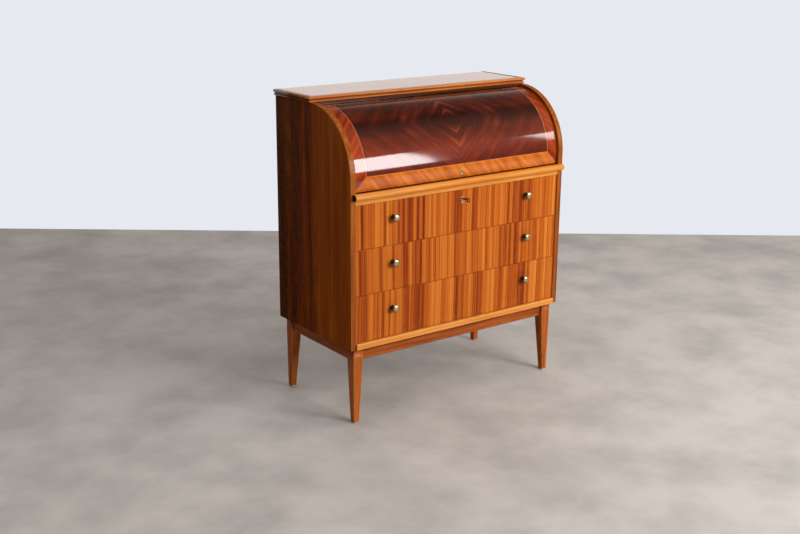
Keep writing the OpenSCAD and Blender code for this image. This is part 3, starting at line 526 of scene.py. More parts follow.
# ---- Pigeonholes ----
# A loose unit of thin oak boards behind the cylinder: a long shelf over two small drawers, upright
# partitions above it, a plain top and back. The boards are housed and glued.
unit_oak, upright_oak = [
    timber(name, grain, ("#9a6632", "#b98548", "#cc9c60"), "#d8b07c", band=22, fibre=3, stretch=18,
           gloss=0.42, coat=0.35) for name, grain in (("oak_pigeonholes", 0), ("oak_uprights", 2))]
unit_low, unit_high = box_of("unit_sides")
board_t, thin_t, division_x = 8.0, 5.0, 147.4
piece("pigeonhole_sides", [board((x, *unit_low[1:]), (x + board_t, *unit_high[1:]), 0, 0.8)
                           for x in (unit_low[0], unit_high[0] - board_t)],
      upright_oak, "carcass", ["unit_sides"])
for node, name, thin in (("unit_top", "pigeonhole_top", 2), ("unit_shelf", "pigeonhole_shelf", 2),
                         ("unit_back", "pigeonhole_back", 1)):
    piece(name, [board(*box_of(node), thin, 0.8)], unit_oak, "carcass", [node])
low, high = box_of("unit_partitions")
shelf_low, shelf_high = box_of("unit_shelf")
pitch = (shelf_high[0] - shelf_low[0]) / 5
uprights = [board((x, low[1], low[2]), (x + board_t, high[1], shelf_low[2]), 0, 0.8)
            for x in (-division_x, division_x - board_t)]
uprights += [board((shelf_low[0] + i * pitch - thin_t / 2, low[1], shelf_high[2]),
                   (shelf_low[0] + i * pitch + thin_t / 2, high[1], high[2]), 0, 0.6) for i in range(1, 5)]
piece("pigeonhole_partitions", uprights, upright_oak, "carcass", ["unit_partitions"])

# ---- Small drawers ----
# Two drawers of thin oak under the shelf, open at the top, each with a turned brass knob.
small_front = timber("mahogany_small_drawers", 0, ("#6b2f12", "#964a1e", "#b0622c"),
                     "#c07a40", band=14, fibre=3, stretch=20)
# Lacquered brass, gone a little brown
brass = speckled("lacquered_brass", "#d8bd80", "#b4935a", 1.6, 0.24, 1.0)
wall, sole = 7.0, 4.0
for side in ("left", "right"):
    low, high = box_of(f"inner_drawer_{side}")
    rear_y = low[1] + wall + sole
    front = board(low, (high[0], rear_y, high[2]), 1, 0.8)
    walls = [board((x, rear_y, low[2]), (x + wall, high[1], high[2]), 0, 0.6)
             for x in (low[0], high[0] - wall)]
    back = board((low[0] + wall, high[1] - wall, low[2]), (high[0] - wall, high[1], high[2]), 1, 0.5)
    floor_board = board((low[0] + wall, rear_y, low[2]),
                        (high[0] - wall, high[1] - wall, low[2] + sole), 2, 0.3)
    body = f"{side}_inner_drawer"
    piece(f"small_drawer_{side}", [front, *walls, back, floor_board], small_front, body,
          [f"inner_drawer_{side}"])
    low, high = box_of(f"inner_knob_{side}")
    middle = ((low[0] + high[0]) / 2, high[1], (low[2] + high[2]) / 2)
    reach = high[1] - low[1]
    dome = np.radians(np.linspace(0, 84, 8))
    knob = curve_through([(3.4, 0), (2.9, 1.6), (2.6, 3.6), (3.2, 5.0), (5.2, 6.2), (6.0, 7.2)], 4)
    knob = np.concatenate([knob, np.column_stack([6 * np.cos(dome), 7.2 + (reach - 7.2) * np.sin(dome)])[1:]])
    piece(f"small_knob_{side}", [turned(knob, middle, 32)], brass, body, [f"inner_knob_{side}"])

# ---- Cylinder ----
# The rigid curved front: a shell of coopered staves turned to a quarter circle and veneered. Two
# book-matched leaves of flame mahogany meet in the middle inside a pale stringing and a
# cross-banded border; the whole is polished to a high gloss. It turns on two plywood quadrants.
pivot_y, pivot_z, shell_r, shell_in_r, shell_half = carcass_y, 810.0, 211.0, 199.0, 428.5
low_turn = -np.arcsin(36.0 / shell_r)
high_turn = np.radians(94.0)
arc_run = (high_turn - low_turn) * shell_r


def bent_slab(corners, radii, arris, steps):
    """An outline in radius and X carried round the pivot from the lower edge to the tail, with
    rounded end arrises: each ring's run along the arc becomes an angle. Gives the points' run too."""
    insets, runs, wear = arris_steps(0.0, arc_run, (arris, arris), 12.0)
    half = len(runs) // 2
    between = np.linspace(runs[half - 1], runs[half], steps)[1:-1]
    insets = np.concatenate([insets[:half], 0 * between, insets[half:]])
    runs = np.concatenate([runs[:half], between, runs[half:]])
    wear = np.concatenate([wear[:half], 0 * between, wear[half:]])
    drawn = [rounded(corners, radii, i, 4) for i in insets]
    flat = np.stack([d[0] for d in drawn])
    angle = (low_turn + runs / shell_r)[:, None]
    rings = np.stack([flat[..., 1], pivot_y - flat[..., 0] * np.cos(angle),
                      pivot_z + flat[..., 0] * np.sin(angle)], -1)
    worn = np.maximum(wear[:, None], np.stack([d[1] for d in drawn]))
    run = np.repeat(runs, flat.shape[1])
    return stack(rings, worn), run


def cut_through(made, cutter_parts):
    """Takes the cutter's parts out of a piece for good, by an exact boolean."""
    cutter = piece("cutter", cutter_parts, [], "carcass", [])
    taking = made.modifiers.new("hole", "BOOLEAN")
    taking.object, taking.operation, taking.solver = cutter, "DIFFERENCE", "EXACT"
    made.modifiers.move(len(made.modifiers) - 1, 0)
    flat_last = made.modifiers["flat faces"]
    flat_last.show_viewport = False
    bpy.context.view_layer.update()
    holed = bpy.data.meshes.new_from_object(made.evaluated_get(bpy.context.evaluated_depsgraph_get()))
    flat_last.show_viewport = True
    made.modifiers.remove(taking)
    made.data = holed
    bpy.data.objects.remove(cutter)


turn = np.linspace(0, 2 * np.pi, 96, endpoint=False) + np.pi / 96


def plate_radius(bore, half_slot, drop, foot):
    """How far the edge of a keyhole shape is from the bore's centre in each direction: the bore's
    circle, or the slot below it where that reaches further. The foot rounds the slot's end."""
    c, s = np.abs(np.cos(turn)), np.sin(turn)
    side = half_slot / np.maximum(c, 1e-6)
    if foot:
        end = -s * drop + np.sqrt(np.maximum(foot**2 - (c * drop) ** 2, 0))
        slot = np.where(side * -s > drop, end, side)
    else:
        slot = np.minimum(side, drop / np.maximum(-s, 1e-6))
    slot = np.where(s < 0, slot, 0)
    return np.maximum(bore, slot)


def keyhole_bore(centre, bore, half_slot, drop, front, back):
    """A solid in the shape of a keyhole, from front to back along Y, for cutting."""
    r = plate_radius(bore, half_slot, drop, 0)
    rings = np.stack([np.column_stack([centre[0] + r * np.cos(turn), np.full(len(turn), y),
                                       centre[1] + r * np.sin(turn)]) for y in (back, front)])
    return stack(rings, np.zeros(rings.shape[:2]))


def escutcheon(outer, inner, thick, wrap):
    """A keyhole plate: rings from the outer edge over a rounded rim and the flat face to the hole
    and back behind, closed on itself. The wrap function sets each point (x, z, height) in place."""
    rows = [(outer, 0.0), (outer, thick - 0.25), (outer - 0.3, thick), (inner + 0.3, thick),
            (inner, thick - 0.25), (inner, 0.0)]
    rings = np.stack([wrap(r * np.cos(turn), r * np.sin(turn), h) for r, h in rows])
    count, n = rings.shape[:2]
    row, col = np.meshgrid(np.arange(count), np.arange(n), indexing="ij")
    on, up = (col + 1) % n, (row + 1) % count * n
    quads = np.stack([row * n + col, row * n + on, up + on, up + col], -1).reshape(-1, 4)
    worn = np.zeros(rings.shape[:2])
    worn[1:3] = 1.0
    return rings.reshape(-1, 3), [quads], worn.ravel()


def flame_veneer():
    """The cylinder's face, from the leaf coordinates u (across, 0 in the middle) and v (up from the
    lower edge), in metres. Four matched leaves give the field nested diamonds round its middle:
    streaks along lines of equal |v - 0.2| + 0.95 |u|, and a crisp edge every 55 mm that's pale
    inside and dark outside and fades sideways. A dark band with a ragged edge along the level
    joint is a painted reflection of a dark part of the room. The border's figure slants across it."""
    wood = bpy.data.materials.new("flame_mahogany_crossbanded_painted_reflection")
    wood.use_nodes = True
    tree = wood.node_tree
    leaf = add(tree, "ShaderNodeUVMap", uv_map="leaf")
    uv = add(tree, "ShaderNodeSeparateXYZ", {0: leaf.outputs[0]})
    u, v = uv.outputs[0], uv.outputs[1]
    away = add(tree, "ShaderNodeMath", {0: u}, operation="ABSOLUTE").outputs[0]
    from_side = add(tree, "ShaderNodeMath", {0: 0.3845, 1: away}, operation="SUBTRACT").outputs[0]
    from_low = add(tree, "ShaderNodeMath", {0: v, 1: 0.0465}, operation="SUBTRACT").outputs[0]
    inner = add(tree, "ShaderNodeMath", {0: from_side, 1: from_low}, operation="MINIMUM").outputs[0]
    in_field = add(tree, "ShaderNodeMath", {0: inner, 1: 0.0}, operation="GREATER_THAN").outputs[0]
    line_off = add(tree, "ShaderNodeMath", {0: inner}, operation="ABSOLUTE").outputs[0]
    on_line = add(tree, "ShaderNodeMapRange", {"Value": line_off, "From Min": 0.0005, "From Max": 0.0011,
                                               "To Min": 1.0, "To Max": 0.0}).outputs[0]
    # The field, mirrored about the upright and the level joint
    risen = add(tree, "ShaderNodeMath", {0: v, 1: 0.20}, operation="SUBTRACT").outputs[0]
    risen = add(tree, "ShaderNodeMath", {0: risen}, operation="ABSOLUTE").outputs[0]
    mirrored = add(tree, "ShaderNodeCombineXYZ", {0: away, 1: risen}).outputs[0]
    drift = add(tree, "ShaderNodeTexNoise",
                {"Vector": mirrored, "Scale": 7.0, "Detail": 2.0}).outputs["Fac"]
    bend = add(tree, "ShaderNodeMath", {0: drift, 1: 0.06, 2: -0.03}, operation="MULTIPLY_ADD").outputs[0]
    slope = add(tree, "ShaderNodeMath", {0: away, 1: 0.95, 2: bend}, operation="MULTIPLY_ADD").outputs[0]
    across = add(tree, "ShaderNodeMath", {0: risen, 1: slope}, operation="ADD").outputs[0]
    along = add(tree, "ShaderNodeMath", {0: risen, 1: -0.95, 2: away}, operation="MULTIPLY_ADD").outputs[0]
    streak_at = add(tree, "ShaderNodeCombineXYZ", {0: across, 1: along}).outputs[0]
    wide_at = add(tree, "ShaderNodeVectorMath",
                  {0: streak_at, 1: (1 / 0.030, 1 / 0.20, 1)}, operation="MULTIPLY").outputs[0]
    fine_at = add(tree, "ShaderNodeVectorMath",
                  {0: streak_at, 1: (1 / 0.006, 1 / 0.09, 1)}, operation="MULTIPLY").outputs[0]
    wide = add(tree, "ShaderNodeTexNoise",
               {"Vector": wide_at, "Scale": 1.0, "Detail": 2.0, "Roughness": 0.55}).outputs["Fac"]
    fine = add(tree, "ShaderNodeTexNoise", {"Vector": fine_at, "Scale": 1.0, "Detail": 3.0}).outputs["Fac"]
    clouds = add(tree, "ShaderNodeTexNoise",
                 {"Vector": mirrored, "Scale": 9.0, "Detail": 2.0}).outputs["Fac"]
    some = add(tree, "ShaderNodeMix", {0: 0.28, 2: wide, 3: fine}).outputs[0]
    mixed = add(tree, "ShaderNodeMix", {0: 0.35, 2: some, 3: clouds}).outputs[0]
    strong = add(tree, "ShaderNodeMapRange", {"Value": away, "From Min": 0.06, "From Max": 0.30,
                                              "To Min": 0.9, "To Max": 0.5}).outputs[0]
    off_mean = add(tree, "ShaderNodeMath", {0: mixed, 1: 0.5}, operation="SUBTRACT").outputs[0]
    figure = add(tree, "ShaderNodeMath",
                 {0: off_mean, 1: strong, 2: 0.5}, operation="MULTIPLY_ADD").outputs[0]
    step_at = add(tree, "ShaderNodeMath",
                  {0: across, 1: 18.2, 2: 0.18}, operation="MULTIPLY_ADD").outputs[0]
    step = add(tree, "ShaderNodeMath", {0: step_at}, operation="FRACT").outputs[0]
    step = add(tree, "ShaderNodeMath", {0: step, 1: 0.5}, operation="SUBTRACT").outputs[0]
    step_weight = add(tree, "ShaderNodeMapRange", {"Value": away, "From Min": 0.03, "From Max": 0.17,
                                                   "To Min": 0.14, "To Max": 0.02}).outputs[0]
    figure = add(tree, "ShaderNodeMath",
                 {0: step, 1: step_weight, 2: figure}, operation="MULTIPLY_ADD").outputs[0]
    # Painted reflection: a dark band with a ragged edge along the level joint, standing for the reflection of
    # a dark part of the room in the polish
    ragged_reflection_edge = add(tree, "ShaderNodeMath",
                 {0: clouds, 1: 0.05, 2: risen}, operation="MULTIPLY_ADD").outputs[0]
    painted_dark_reflection = add(tree, "ShaderNodeMapRange", {"Value": ragged_reflection_edge, "From Min": 0.028, "From Max": 0.060,
                                              "To Min": 0.13, "To Max": 0.0}).outputs[0]
    figure = add(tree, "ShaderNodeMath", {0: figure, 1: painted_dark_reflection}, operation="SUBTRACT").outputs[0]
    field = add(tree, "ShaderNodeValToRGB", {"Fac": figure},
                [(0.38, "#180403"), (0.46, "#300b04"), (0.54, "#4c1606"), (0.66, "#76300f")]).outputs["Color"]
    # The border: its figure falls to the right along the lower edge and outwards at the sides
    low_slant = add(tree, "ShaderNodeMath", {0: u, 1: v}, operation="ADD").outputs[0]
    side_slant = add(tree, "ShaderNodeMath", {0: away, 1: v}, operation="ADD").outputs[0]
    is_low = add(tree, "ShaderNodeMath", {0: from_low, 1: from_side}, operation="LESS_THAN").outputs[0]
    slant = add(tree, "ShaderNodeMix", {0: is_low, 2: side_slant, 3: low_slant}).outputs[0]
    slant_on = add(tree, "ShaderNodeMath", {0: u, 1: v}, operation="SUBTRACT").outputs[0]
    border_at = add(tree, "ShaderNodeCombineXYZ", {0: slant, 1: slant_on}).outputs[0]
    slant_wide_at = add(tree, "ShaderNodeVectorMath",
                        {0: border_at, 1: (1 / 0.024, 1 / 0.20, 1)}, operation="MULTIPLY").outputs[0]
    slant_fine_at = add(tree, "ShaderNodeVectorMath",
                        {0: border_at, 1: (1 / 0.004, 1 / 0.06, 1)}, operation="MULTIPLY").outputs[0]
    slant_wide = add(tree, "ShaderNodeTexNoise",
                     {"Vector": slant_wide_at, "Scale": 1.0, "Detail": 1.0, "Distortion": 0.3}).outputs["Fac"]
    slant_fine = add(tree, "ShaderNodeTexNoise",
                     {"Vector": slant_fine_at, "Scale": 1.0, "Detail": 2.0}).outputs["Fac"]
    stripes = add(tree, "ShaderNodeMix", {0: 0.25, 2: slant_wide, 3: slant_fine}).outputs[0]
    low_border, side_border = [
        add(tree, "ShaderNodeValToRGB",
            {"Fac": stripes}, list(zip((0.34, 0.5, 0.66), tones))).outputs["Color"]
        for tones in (("#9c4c10", "#b86016", "#cc7620"), ("#661e06", "#802c08", "#983c10"))]
    border = add(tree, "ShaderNodeMix",
                 {0: is_low, 6: side_border, 7: low_border}, data_type="RGBA").outputs[2]
    inlaid = add(tree, "ShaderNodeMix", {0: in_field, 6: border, 7: field}, data_type="RGBA").outputs[2]
    colour = add(tree, "ShaderNodeMix",
                 {0: on_line, 6: inlaid, 7: linear("#b07a56")}, data_type="RGBA").outputs[2]
    varnish(tree, colour, fine, "#a8602e", 0.42, 1.0, 0.075, 0.0001, 0.5, "#ff5a1c")
    return wood


# Plain mahogany staves under the veneer, seen inside and on the edges
stave_mahogany = timber("mahogany_staves", 0, ("#5a2610", "#7c3c1a", "#955026"), "#a8683a",
                        band=24, fibre=4, stretch=20, gloss=0.45, coat=0.2)
shell_part, run = bent_slab(outline((0, shell_in_r, -shell_half), (0, shell_r, shell_half), 0),
                            [0.8, 1.0, 1.0, 0.8], 0.8, 72)
shell = piece("cylinder_front", [shell_part], [stave_mahogany, flame_veneer()], "cylinder",
              ["cylinder_shell"])
leaf = np.column_stack([shell_part[0][:, 0], run]) * 0.001
corners_of = np.empty(len(shell.data.loops), np.int32)
shell.data.loops.foreach_get("vertex_index", corners_of)
shell.data.uv_layers.new(name="leaf").data.foreach_set("uv", leaf[corners_of].ravel().astype(np.float32))
centres = np.empty(len(shell.data.polygons) * 3, np.float32)
shell.data.polygons.foreach_get("center", centres)
centres = centres.reshape(-1, 3) * 1000
from_pivot = np.hypot(centres[:, 1] - pivot_y, centres[:, 2] - pivot_z)
shell.data.polygons.foreach_set("material_index", (from_pivot > shell_r - 0.6).astype(np.int32))
# Its keyhole: the bore's radius, half the slot's width, and how far the slot drops
key_z, shell_keyhole = 796.0, (2.5, 1.2, 7.0)
cut_through(shell, [keyhole_bore((0, key_z), *shell_keyhole, -220, -150)])
# Birch plywood quadrants, seen from the inside only
quadrant_ply = timber("birch_plywood_quadrants", 2, ("#a37440", "#bd9058", "#cda46c"), "#d8b884",
                      band=30, fibre=4, stretch=12, gloss=0.5, coat=0.1)
finish_node(quadrant_ply, "quadrant_left", "quadrant_right")


def on_cylinder(x, z, height):
    """Lays a point of the plate on the curved face, that far above it."""
    up = key_z + z - pivot_z
    return np.column_stack([x, pivot_y - np.sqrt((shell_r + height) ** 2 - up**2), key_z + z])


plate_edge = plate_radius(7.0, 4.5, 12.0, 4.5)
piece("cylinder_keyhole_plate", [escutcheon(plate_edge, plate_radius(*shell_keyhole, 0), 0.7, on_cylinder)],
      brass, "cylinder", ["cylinder_escutcheon"])
finish_node(brass, "cylinder_lock")

# ---- Writing board ----
# A veneered board that pulls out over the drawers, with a thick half-round nosing of light wood
# glued along its front edge, which is also its pull. Two beech pegs below stop it at both ends.
writing_leaves = timber("mahogany_veneer_writing_board", 0, ("#5a2410", "#7e3a1a", "#985026"),
                        "#a86a3c", band=40, fibre=5, stretch=24, mix=0.3, gloss=0.32, coat=0.7,
                        coat_rough=0.1)
piece("writing_board_veneered", [board(*box_of("writing_board"), 2, 0.4)], writing_leaves, "writing_slide",
      ["writing_board"])
low, high = box_of("slide_nosing")
nose_r = (high[2] - low[2]) / 2 - 0.3
# Its end faces are painted nearly black: partly end grain that has drunk in the stain, partly painted shade
# on the ends
end_grain_and_painted_shade = timber("stained_birch_end_grain_painted_shade", 1, ("#1c0d06", "#2e160a", "#40200e"),
                   "#5a3016", band=6, fibre=2, stretch=2, gloss=0.5, coat=0.0)
nosing = piece("half_round_nosing",
               [slab(outline(low, high, 0), [nose_r, 0.6, 0.6, nose_r], low[0], high[0], 0, 0.8, 8)],
               [rail_birch, end_grain_and_painted_shade], "writing_slide", ["slide_nosing"])
normals = np.empty(len(nosing.data.polygons) * 3, np.float32)
nosing.data.polygons.foreach_get("normal", normals)
nosing.data.polygons.foreach_set("material_index", (np.abs(normals[::3]) > 0.7).astype(np.int32))
finish_node(runner_beech, "slide_stop_pegs")

# ---- Drawers ----
# Three drawers. Their fronts are veneered upright with one run of ribbon-striped mahogany, so the
# stripes carry on from drawer to drawer; sides, backs and bottoms are of oak and plywood.
# Where each known stripe begins, in millimetres from the middle, and its tone, 0 dark to 1 light
ribbon_bands = (
    (-409, 0.5), (-404, 0.14), (-388, 0.18), (-384, 0.6), (-342, 0.66), (-330, 0.4), (-318, 0.56),
    (-272, 0.62), (-236, 0.5), (-231, 0.26), (-216, 0.28), (-208, 0.5), (-192, 0.46), (-178, 0.2),
    (-160, 0.22), (-154, 0.62), (-100, 0.66), (-44, 0.58), (-24, 0.4), (-8, 0.46), (4, 0.62),
    (50, 0.58), (58, 0.16), (72, 0.2), (78, 0.6), (150, 0.66), (228, 0.5), (238, 0.3), (296, 0.36),
    (312, 0.58), (345, 0.68))
front_half = 430


def ribbon_veneer(name, shift, lean, leaf):
    """Upright stripes read from X alone, but for a slow wander with the height. Known bands of dark
    and light wood, stripes of random tone some 13 and 4 mm wide, and fine fibres add up to one
    tone, which the colours follow. The shift, the lean and the leaf's number make it its own."""
    wood = bpy.data.materials.new(name)
    wood.use_nodes = True
    tree = wood.node_tree
    where = add(tree, "ShaderNodeTexCoord")
    place = add(tree, "ShaderNodeSeparateXYZ", {0: where.outputs["Object"]})
    long_way = add(tree, "ShaderNodeMapping",
                   {"Vector": where.outputs["Object"], "Scale": (1.0, 1.0, 0.12)})
    sway = add(tree, "ShaderNodeTexNoise",
               {"Vector": long_way.outputs[0], "Scale": 14.0, "Detail": 1.0}).outputs["Fac"]
    leaning = add(tree, "ShaderNodeMath",
                  {0: place.outputs[2], 1: lean, 2: place.outputs[0]}, operation="MULTIPLY_ADD").outputs[0]
    x = add(tree, "ShaderNodeMath", {0: sway, 1: 0.010, 2: leaning}, operation="MULTIPLY_ADD").outputs[0]
    x = add(tree, "ShaderNodeMath", {0: x, 1: shift - 0.005}, operation="ADD").outputs[0]
    share = add(tree, "ShaderNodeMapRange", {"Value": x, "From Min": -0.43, "From Max": 0.43}).outputs[0]
    known = add(tree, "ShaderNodeValToRGB", {"Fac": share})
    elements = known.color_ramp.elements
    elements.remove(elements[1])
    elements[0].position, elements[0].color = 0.0, (0.5, 0.5, 0.5, 1)
    for at, tone in ribbon_bands:
        elements.new((at + front_half) / (2 * front_half)).color = (tone, tone, tone, 1)
    own = add(tree, "ShaderNodeMath", {0: x, 1: leaf * 0.9}, operation="ADD").outputs[0]
    wide = add(tree, "ShaderNodeTexVoronoi",
               {"W": own, "Scale": 90.0}, voronoi_dimensions="1D").outputs["Color"]
    narrow = add(tree, "ShaderNodeTexVoronoi",
                 {"W": own, "Scale": 230.0}, voronoi_dimensions="1D").outputs["Color"]
    wide_tone = add(tree, "ShaderNodeSeparateColor", {0: wide}).outputs[0]
    narrow_tone = add(tree, "ShaderNodeSeparateColor", {0: narrow}).outputs[1]
    fibre_at = add(tree, "ShaderNodeMapping",
                   {"Vector": where.outputs["Object"], "Scale": (1.0, 1.0, 0.05)})
    fibres = add(tree, "ShaderNodeTexNoise",
                 {"Vector": fibre_at.outputs[0], "Scale": 420.0, "Detail": 3.0}).outputs["Fac"]
    random_tone = add(tree, "ShaderNodeMix", {0: 0.45, 2: wide_tone, 3: narrow_tone}).outputs[0]
    with_fibres = add(tree, "ShaderNodeMix", {0: 0.25, 2: random_tone, 3: fibres}).outputs[0]
    tone = add(tree, "ShaderNodeMix", {0: 0.36, 2: with_fibres, 3: known.outputs["Color"]}).outputs[0]
    colour = add(tree, "ShaderNodeValToRGB", {"Fac": tone},
                 [(0.2, "#641f0b"), (0.36, "#863711"), (0.5, "#a75218"), (0.64, "#ba6722"),
                  (0.8, "#c87a30")]).outputs["Color"]
    varnish(tree, colour, fibres, "#b8702e", 0.4, 0.06, 0.14, 0.0001, 0.05)
    return wood


drawer_oak = timber("oak_drawer_sides", 1, ("#a47a48", "#bf9660", "#cda978"), "#d9bd92",
                    band=18, fibre=3, stretch=18, gloss=0.52, coat=0.1)
drawer_ply = timber("plywood_drawer_bottoms", 0, ("#b08a58", "#c6a270", "#d2b384"), "#dcc49c",
                    band=50, fibre=5, stretch=10, gloss=0.55, coat=0.0)
# Ebonised wood: black stain and polish, with soft dark brown marks
ebonised = speckled("ebonised_knob_stems", "#0f0a08", "#1c120c", 2.5, 0.3, coat=0.4)
# Spun brass caps with a soft lacquered shine
cap_brass = speckled("spun_brass_caps", "#cbb486", "#9c8656", 1.4, 0.26, 1.0)
lock_z, drawer_keyhole = 704.0, (3.2, 1.5, 8.0)
for name, shift, lean, leaf in (("top", 0.0, 0.0, 0), ("middle", 0.002, 0.012, 1),
                                ("bottom", -0.001, -0.012, 2)):
    body = f"{name}_drawer"
    low, high = box_of(f"{name}_drawer_front")
    front = piece(f"{name}_front", [board(low, high, 1, 0.9)],
                  ribbon_veneer(f"ribbon_mahogany_{name}", shift, lean, leaf),
                  body, [f"{name}_drawer_front"])
    if name == "top":
        cut_through(front, [keyhole_bore((0, lock_z), *drawer_keyhole, low[1] - 5, high[1] + 5)])
    finish_node(drawer_oak, f"{name}_drawer_frame")
    finish_node(drawer_ply, f"{name}_drawer_bottom")

    # A turned stem, waisted and flared to a rim round a low domed cap, on each side of the front
    stem_low, stem_high = box_of(f"{name}_drawer_knob_stems")
    cap_low, cap_high = box_of(f"{name}_drawer_knob_caps")
    knob_z = (cap_low[2] + cap_high[2]) / 2
    r, cap_r = (stem_high[2] - stem_low[2]) / 2, (cap_high[2] - cap_low[2]) / 2
    knob_x = cap_high[0] - cap_r
    stem = stem_high[1] - stem_low[1]
    cap = cap_high[1] - cap_low[1]
    stem_shares = [(0.66, 0), (0.65, 0.06), (0.58, 0.2), (0.55, 0.36), (0.58, 0.54), (0.70, 0.72),
                   (0.88, 0.86), (0.99, 0.93), (0.99, 0.97), (1 - 1.4 / r, 1)]
    stem_curve = curve_through(np.array(stem_shares) * (r, stem), 5)
    dome = np.radians(np.linspace(0, 86, 16))
    cap_curve = np.concatenate([[(cap_r - 0.2, 0.0), (cap_r, 0.3)],
                                np.column_stack([cap_r * np.cos(dome), 0.8 + (cap - 0.82) * np.sin(dome)])])
    piece(f"{name}_knob_stems",
          [turned(stem_curve, (x, stem_high[1], knob_z), 48) for x in (-knob_x, knob_x)], ebonised, body,
          [f"{name}_drawer_knob_stems"])
    piece(f"{name}_knob_caps",
          [turned(cap_curve, (x, cap_high[1], knob_z), 48) for x in (-knob_x, knob_x)], cap_brass, body,
          [f"{name}_drawer_knob_caps"])

# ---- Lock and key of the top drawer ----
# A brass plate round the keyhole, a brass lock let in behind the front, and a blackened steel pipe
# key, whose bow stands upright when it's in the lock.


def on_front(x, z, height):
    """Lays a point of the plate on the drawer's flat face, that far ahead of it."""
    return np.column_stack([x, 0 * x + front_face_y - height, lock_z + z])


front_face_y = box_of("top_drawer_front")[0][1]
piece("drawer_keyhole_plate", [escutcheon(plate_edge, plate_radius(*drawer_keyhole, 0), 0.7, on_front)],
      brass, "top_drawer", ["drawer_escutcheon"])
finish_node(brass, "drawer_lock")
# Blackened steel with brown wear
key_iron = speckled("blackened_steel_key", "#2a2622", "#4a3a2c", 2.0, 0.42, 0.9)
low, high = box_of("drawer_key")
# The bow's middle, and the radius, half thickness and half width of its ring
bow_y, bow_r, bow_t, bow_w = low[1] + 8.0, 6.4, 1.25, 1.6
tube = np.linspace(0, 2 * np.pi, 16, endpoint=False)
ring_turn = np.linspace(0, 2 * np.pi, 48, endpoint=False)[:, None]
from_middle = bow_r + bow_w * np.cos(tube)
bow_points = np.stack([bow_t * np.sin(tube) + 0 * ring_turn, bow_y + from_middle * np.cos(ring_turn),
                       lock_z + from_middle * np.sin(ring_turn)], -1)
row, col = np.meshgrid(np.arange(48), np.arange(16), indexing="ij")
on, up = (col + 1) % 16, (row + 1) % 48 * 16
bow_faces = np.stack([row * 16 + col, up + col, up + on, row * 16 + on], -1).reshape(-1, 4)
bow = (bow_points.reshape(-1, 3), [bow_faces], np.zeros(48 * 16))
shank_end = high[1]
shank_length = shank_end - (bow_y + bow_r - 1.2)
shank = turned([(1.2, 0), (2.2, 0.2), (2.5, 0.8), (2.5, shank_length - 7), (3.4, shank_length - 6.4),
                (3.4, shank_length - 5.2), (2.5, shank_length - 4.6), (2.6, shank_length - 2),
                (2.2, shank_length)],
               (0, shank_end, lock_z), 32)
bit = board((-0.9, shank_end - 6, lock_z - 7), (0.9, shank_end - 1, lock_z - 1.5), 0, 0.2)
piece("key_of_top_drawer", [shank, bow, bit], key_iron, "key", ["drawer_key"])

# ---- Floor, light and camera ----
# A plain pale floor that ends a little behind the desk, soft boxes ahead of it, to its right and
# high up, and a pale surround that's darker overhead.
heading = 0.640
floor_half = (3.6, 2.1)
across = np.array([np.cos(heading), -np.sin(heading)])
ahead = np.array([np.sin(heading), np.cos(heading)])
grid = np.array([(-1, -2.4), (1, -2.4), (1, 1), (-1, 1)], float) * floor_half
floor_mesh = bpy.data.meshes.new("pale_floor")
floor_mesh.from_pydata([(*(a * across + b * ahead), 0.0) for a, b in grid], [], [(0, 1, 2, 3)])
pale_floor = bpy.data.objects.new("pale_floor", floor_mesh)
bpy.context.scene.collection.objects.link(pale_floor)
concrete = speckled("pale_concrete_floor", "#bfbbb6", "#a8a5a1", 330.0, 0.6)
floor_mesh.materials.append(concrete)


def soft_box(name, centre, aim, width, height, power, colour):
    """A rectangular light at a place, turned to face another."""
    lamp = bpy.data.lights.new(name, "AREA")
    lamp.shape, lamp.size, lamp.size_y, lamp.energy, lamp.color = "RECTANGLE", width, height, power, colour
    made = bpy.data.objects.new(name, lamp)
    bpy.context.scene.collection.objects.link(made)
    back = np.array(centre) - np.array(aim)
    back /= np.linalg.norm(back)
    side = np.cross([0, 0, 1.0], back)
    side /= np.linalg.norm(side)
    up = np.cross(back, side)
    turn_to = np.eye(4)
    turn_to[:3, 0], turn_to[:3, 1], turn_to[:3, 2], turn_to[:3, 3] = side, up, back, centre
    made.matrix_world = Matrix(turn_to.tolist())
    return made


# The light from the side and from the ceiling is too wide to show as a shape in the polish
soft_box("soft_box_left", (1.75, -3.55, 1.60), (0, 0, 1.60), 1.15, 1.40, 90, (0.97, 0.98, 1.0))
soft_box("soft_box_right", (3.55, -2.85, 1.98), (0, 0, 1.98), 0.80, 0.86, 26, (1.0, 0.97, 0.95))
soft_box("soft_box_front", (0.75, -3.9, 2.7), (0, 0, 2.7), 1.8, 1.3, 118, (1.0, 0.96, 0.92))
side_light = soft_box("soft_box_side", (4.0, -0.8, 3.2), (0, 0, 1.0), 2.0, 2.0, 40, (1.0, 0.97, 0.95))
side_light.visible_glossy = False
ceiling = soft_box("ceiling_bounce", (-1.2, 0.6, 5.0), (-1.2, 0.9, 0.0), 5.0, 5.0, 100, (0.98, 0.99, 1.0))
ceiling.visible_glossy = False

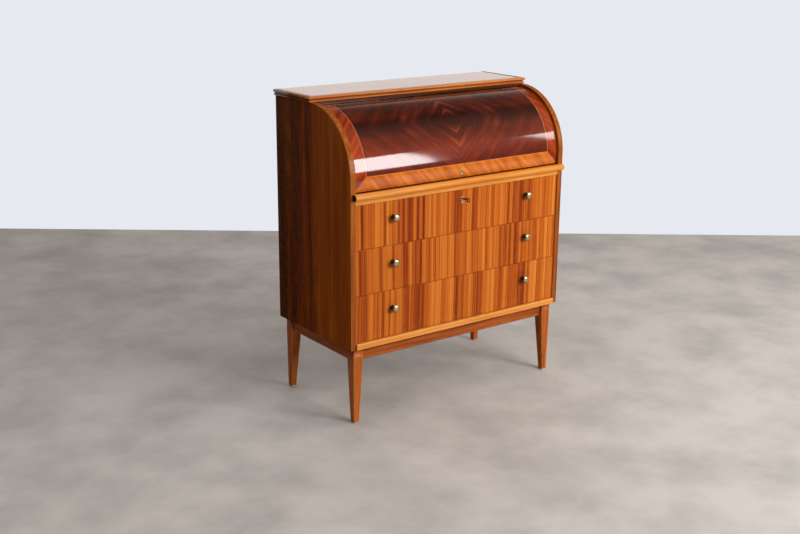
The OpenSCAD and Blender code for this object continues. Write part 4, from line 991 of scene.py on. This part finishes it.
world = bpy.data.worlds.new("pale_room")
bpy.context.scene.world = world
world.use_nodes = True
tree = world.node_tree
direction = add(tree, "ShaderNodeTexCoord").outputs["Generated"]
behind = add(tree, "ShaderNodeVectorMath", {0: direction, 1: (np.sin(heading), np.cos(heading), 0.0)},
             operation="DOT_PRODUCT").outputs["Value"]
near_wall = add(tree, "ShaderNodeMapRange", {"Value": behind, "From Min": -0.1, "From Max": 0.6},
                interpolation_type="SMOOTHSTEP").outputs[0]
height = add(tree, "ShaderNodeSeparateXYZ", {0: direction}).outputs[2]
below_ceiling = add(tree, "ShaderNodeMapRange", {"Value": height, "From Min": 0.66, "From Max": 0.28},
                    interpolation_type="SMOOTHSTEP").outputs[0]
on_wall = add(tree, "ShaderNodeMath", {0: near_wall, 1: below_ceiling}, operation="MULTIPLY").outputs[0]
dim = add(tree, "ShaderNodeMix",
          {0: on_wall, 6: linear("#443c36"), 7: (1.08, 1.02, 0.98, 1.0)}, data_type="RGBA").outputs[2]
# A soft glow high on the right ahead of the desk, as from a pale ceiling near a window
towards = add(tree, "ShaderNodeVectorMath",
              {0: direction, 1: (0.468, -0.558, 0.685)}, operation="DOT_PRODUCT").outputs["Value"]
glow = add(tree, "ShaderNodeMapRange", {"Value": towards, "From Min": 0.82, "From Max": 0.99},
           interpolation_type="SMOOTHSTEP").outputs[0]
room = add(tree, "ShaderNodeMix", {0: glow, 6: dim, 7: (0.5, 0.3, 0.22, 1.0)}, data_type="RGBA").outputs[2]
seen = add(tree, "ShaderNodeLightPath").outputs["Is Camera Ray"]
shown = add(tree, "ShaderNodeMix", {0: seen, 6: room, 7: linear("#e6eaf0")}, data_type="RGBA").outputs[2]
tree.links.new(shown, tree.nodes["Background"].inputs["Color"])
tree.nodes["Background"].inputs["Strength"].default_value = 1.0

lens = bpy.data.cameras.new("camera")
lens.lens, lens.sensor_width = 52.76, 36.0
camera = bpy.data.objects.new("camera", lens)
bpy.context.scene.collection.objects.link(camera)
yaw, pitch, roll = heading, 0.284, -0.009
forward = np.array([np.sin(yaw) * np.cos(pitch), np.cos(yaw) * np.cos(pitch), -np.sin(pitch)])
level = np.array([np.cos(yaw), -np.sin(yaw), 0.0])
down = np.cross(forward, level)
turned_right = np.cos(roll) * level + np.sin(roll) * down
turned_down = np.cos(roll) * down - np.sin(roll) * level
pose = np.eye(4)
standpoint = (-2.4328, -3.1232, 1.5738)
pose[:3, 0], pose[:3, 1], pose[:3, 2], pose[:3, 3] = turned_right, -turned_down, -forward, standpoint
camera.matrix_world = Matrix(pose.tolist())
bpy.context.scene.camera = camera
bpy.context.scene.view_settings.view_transform = "Standard"
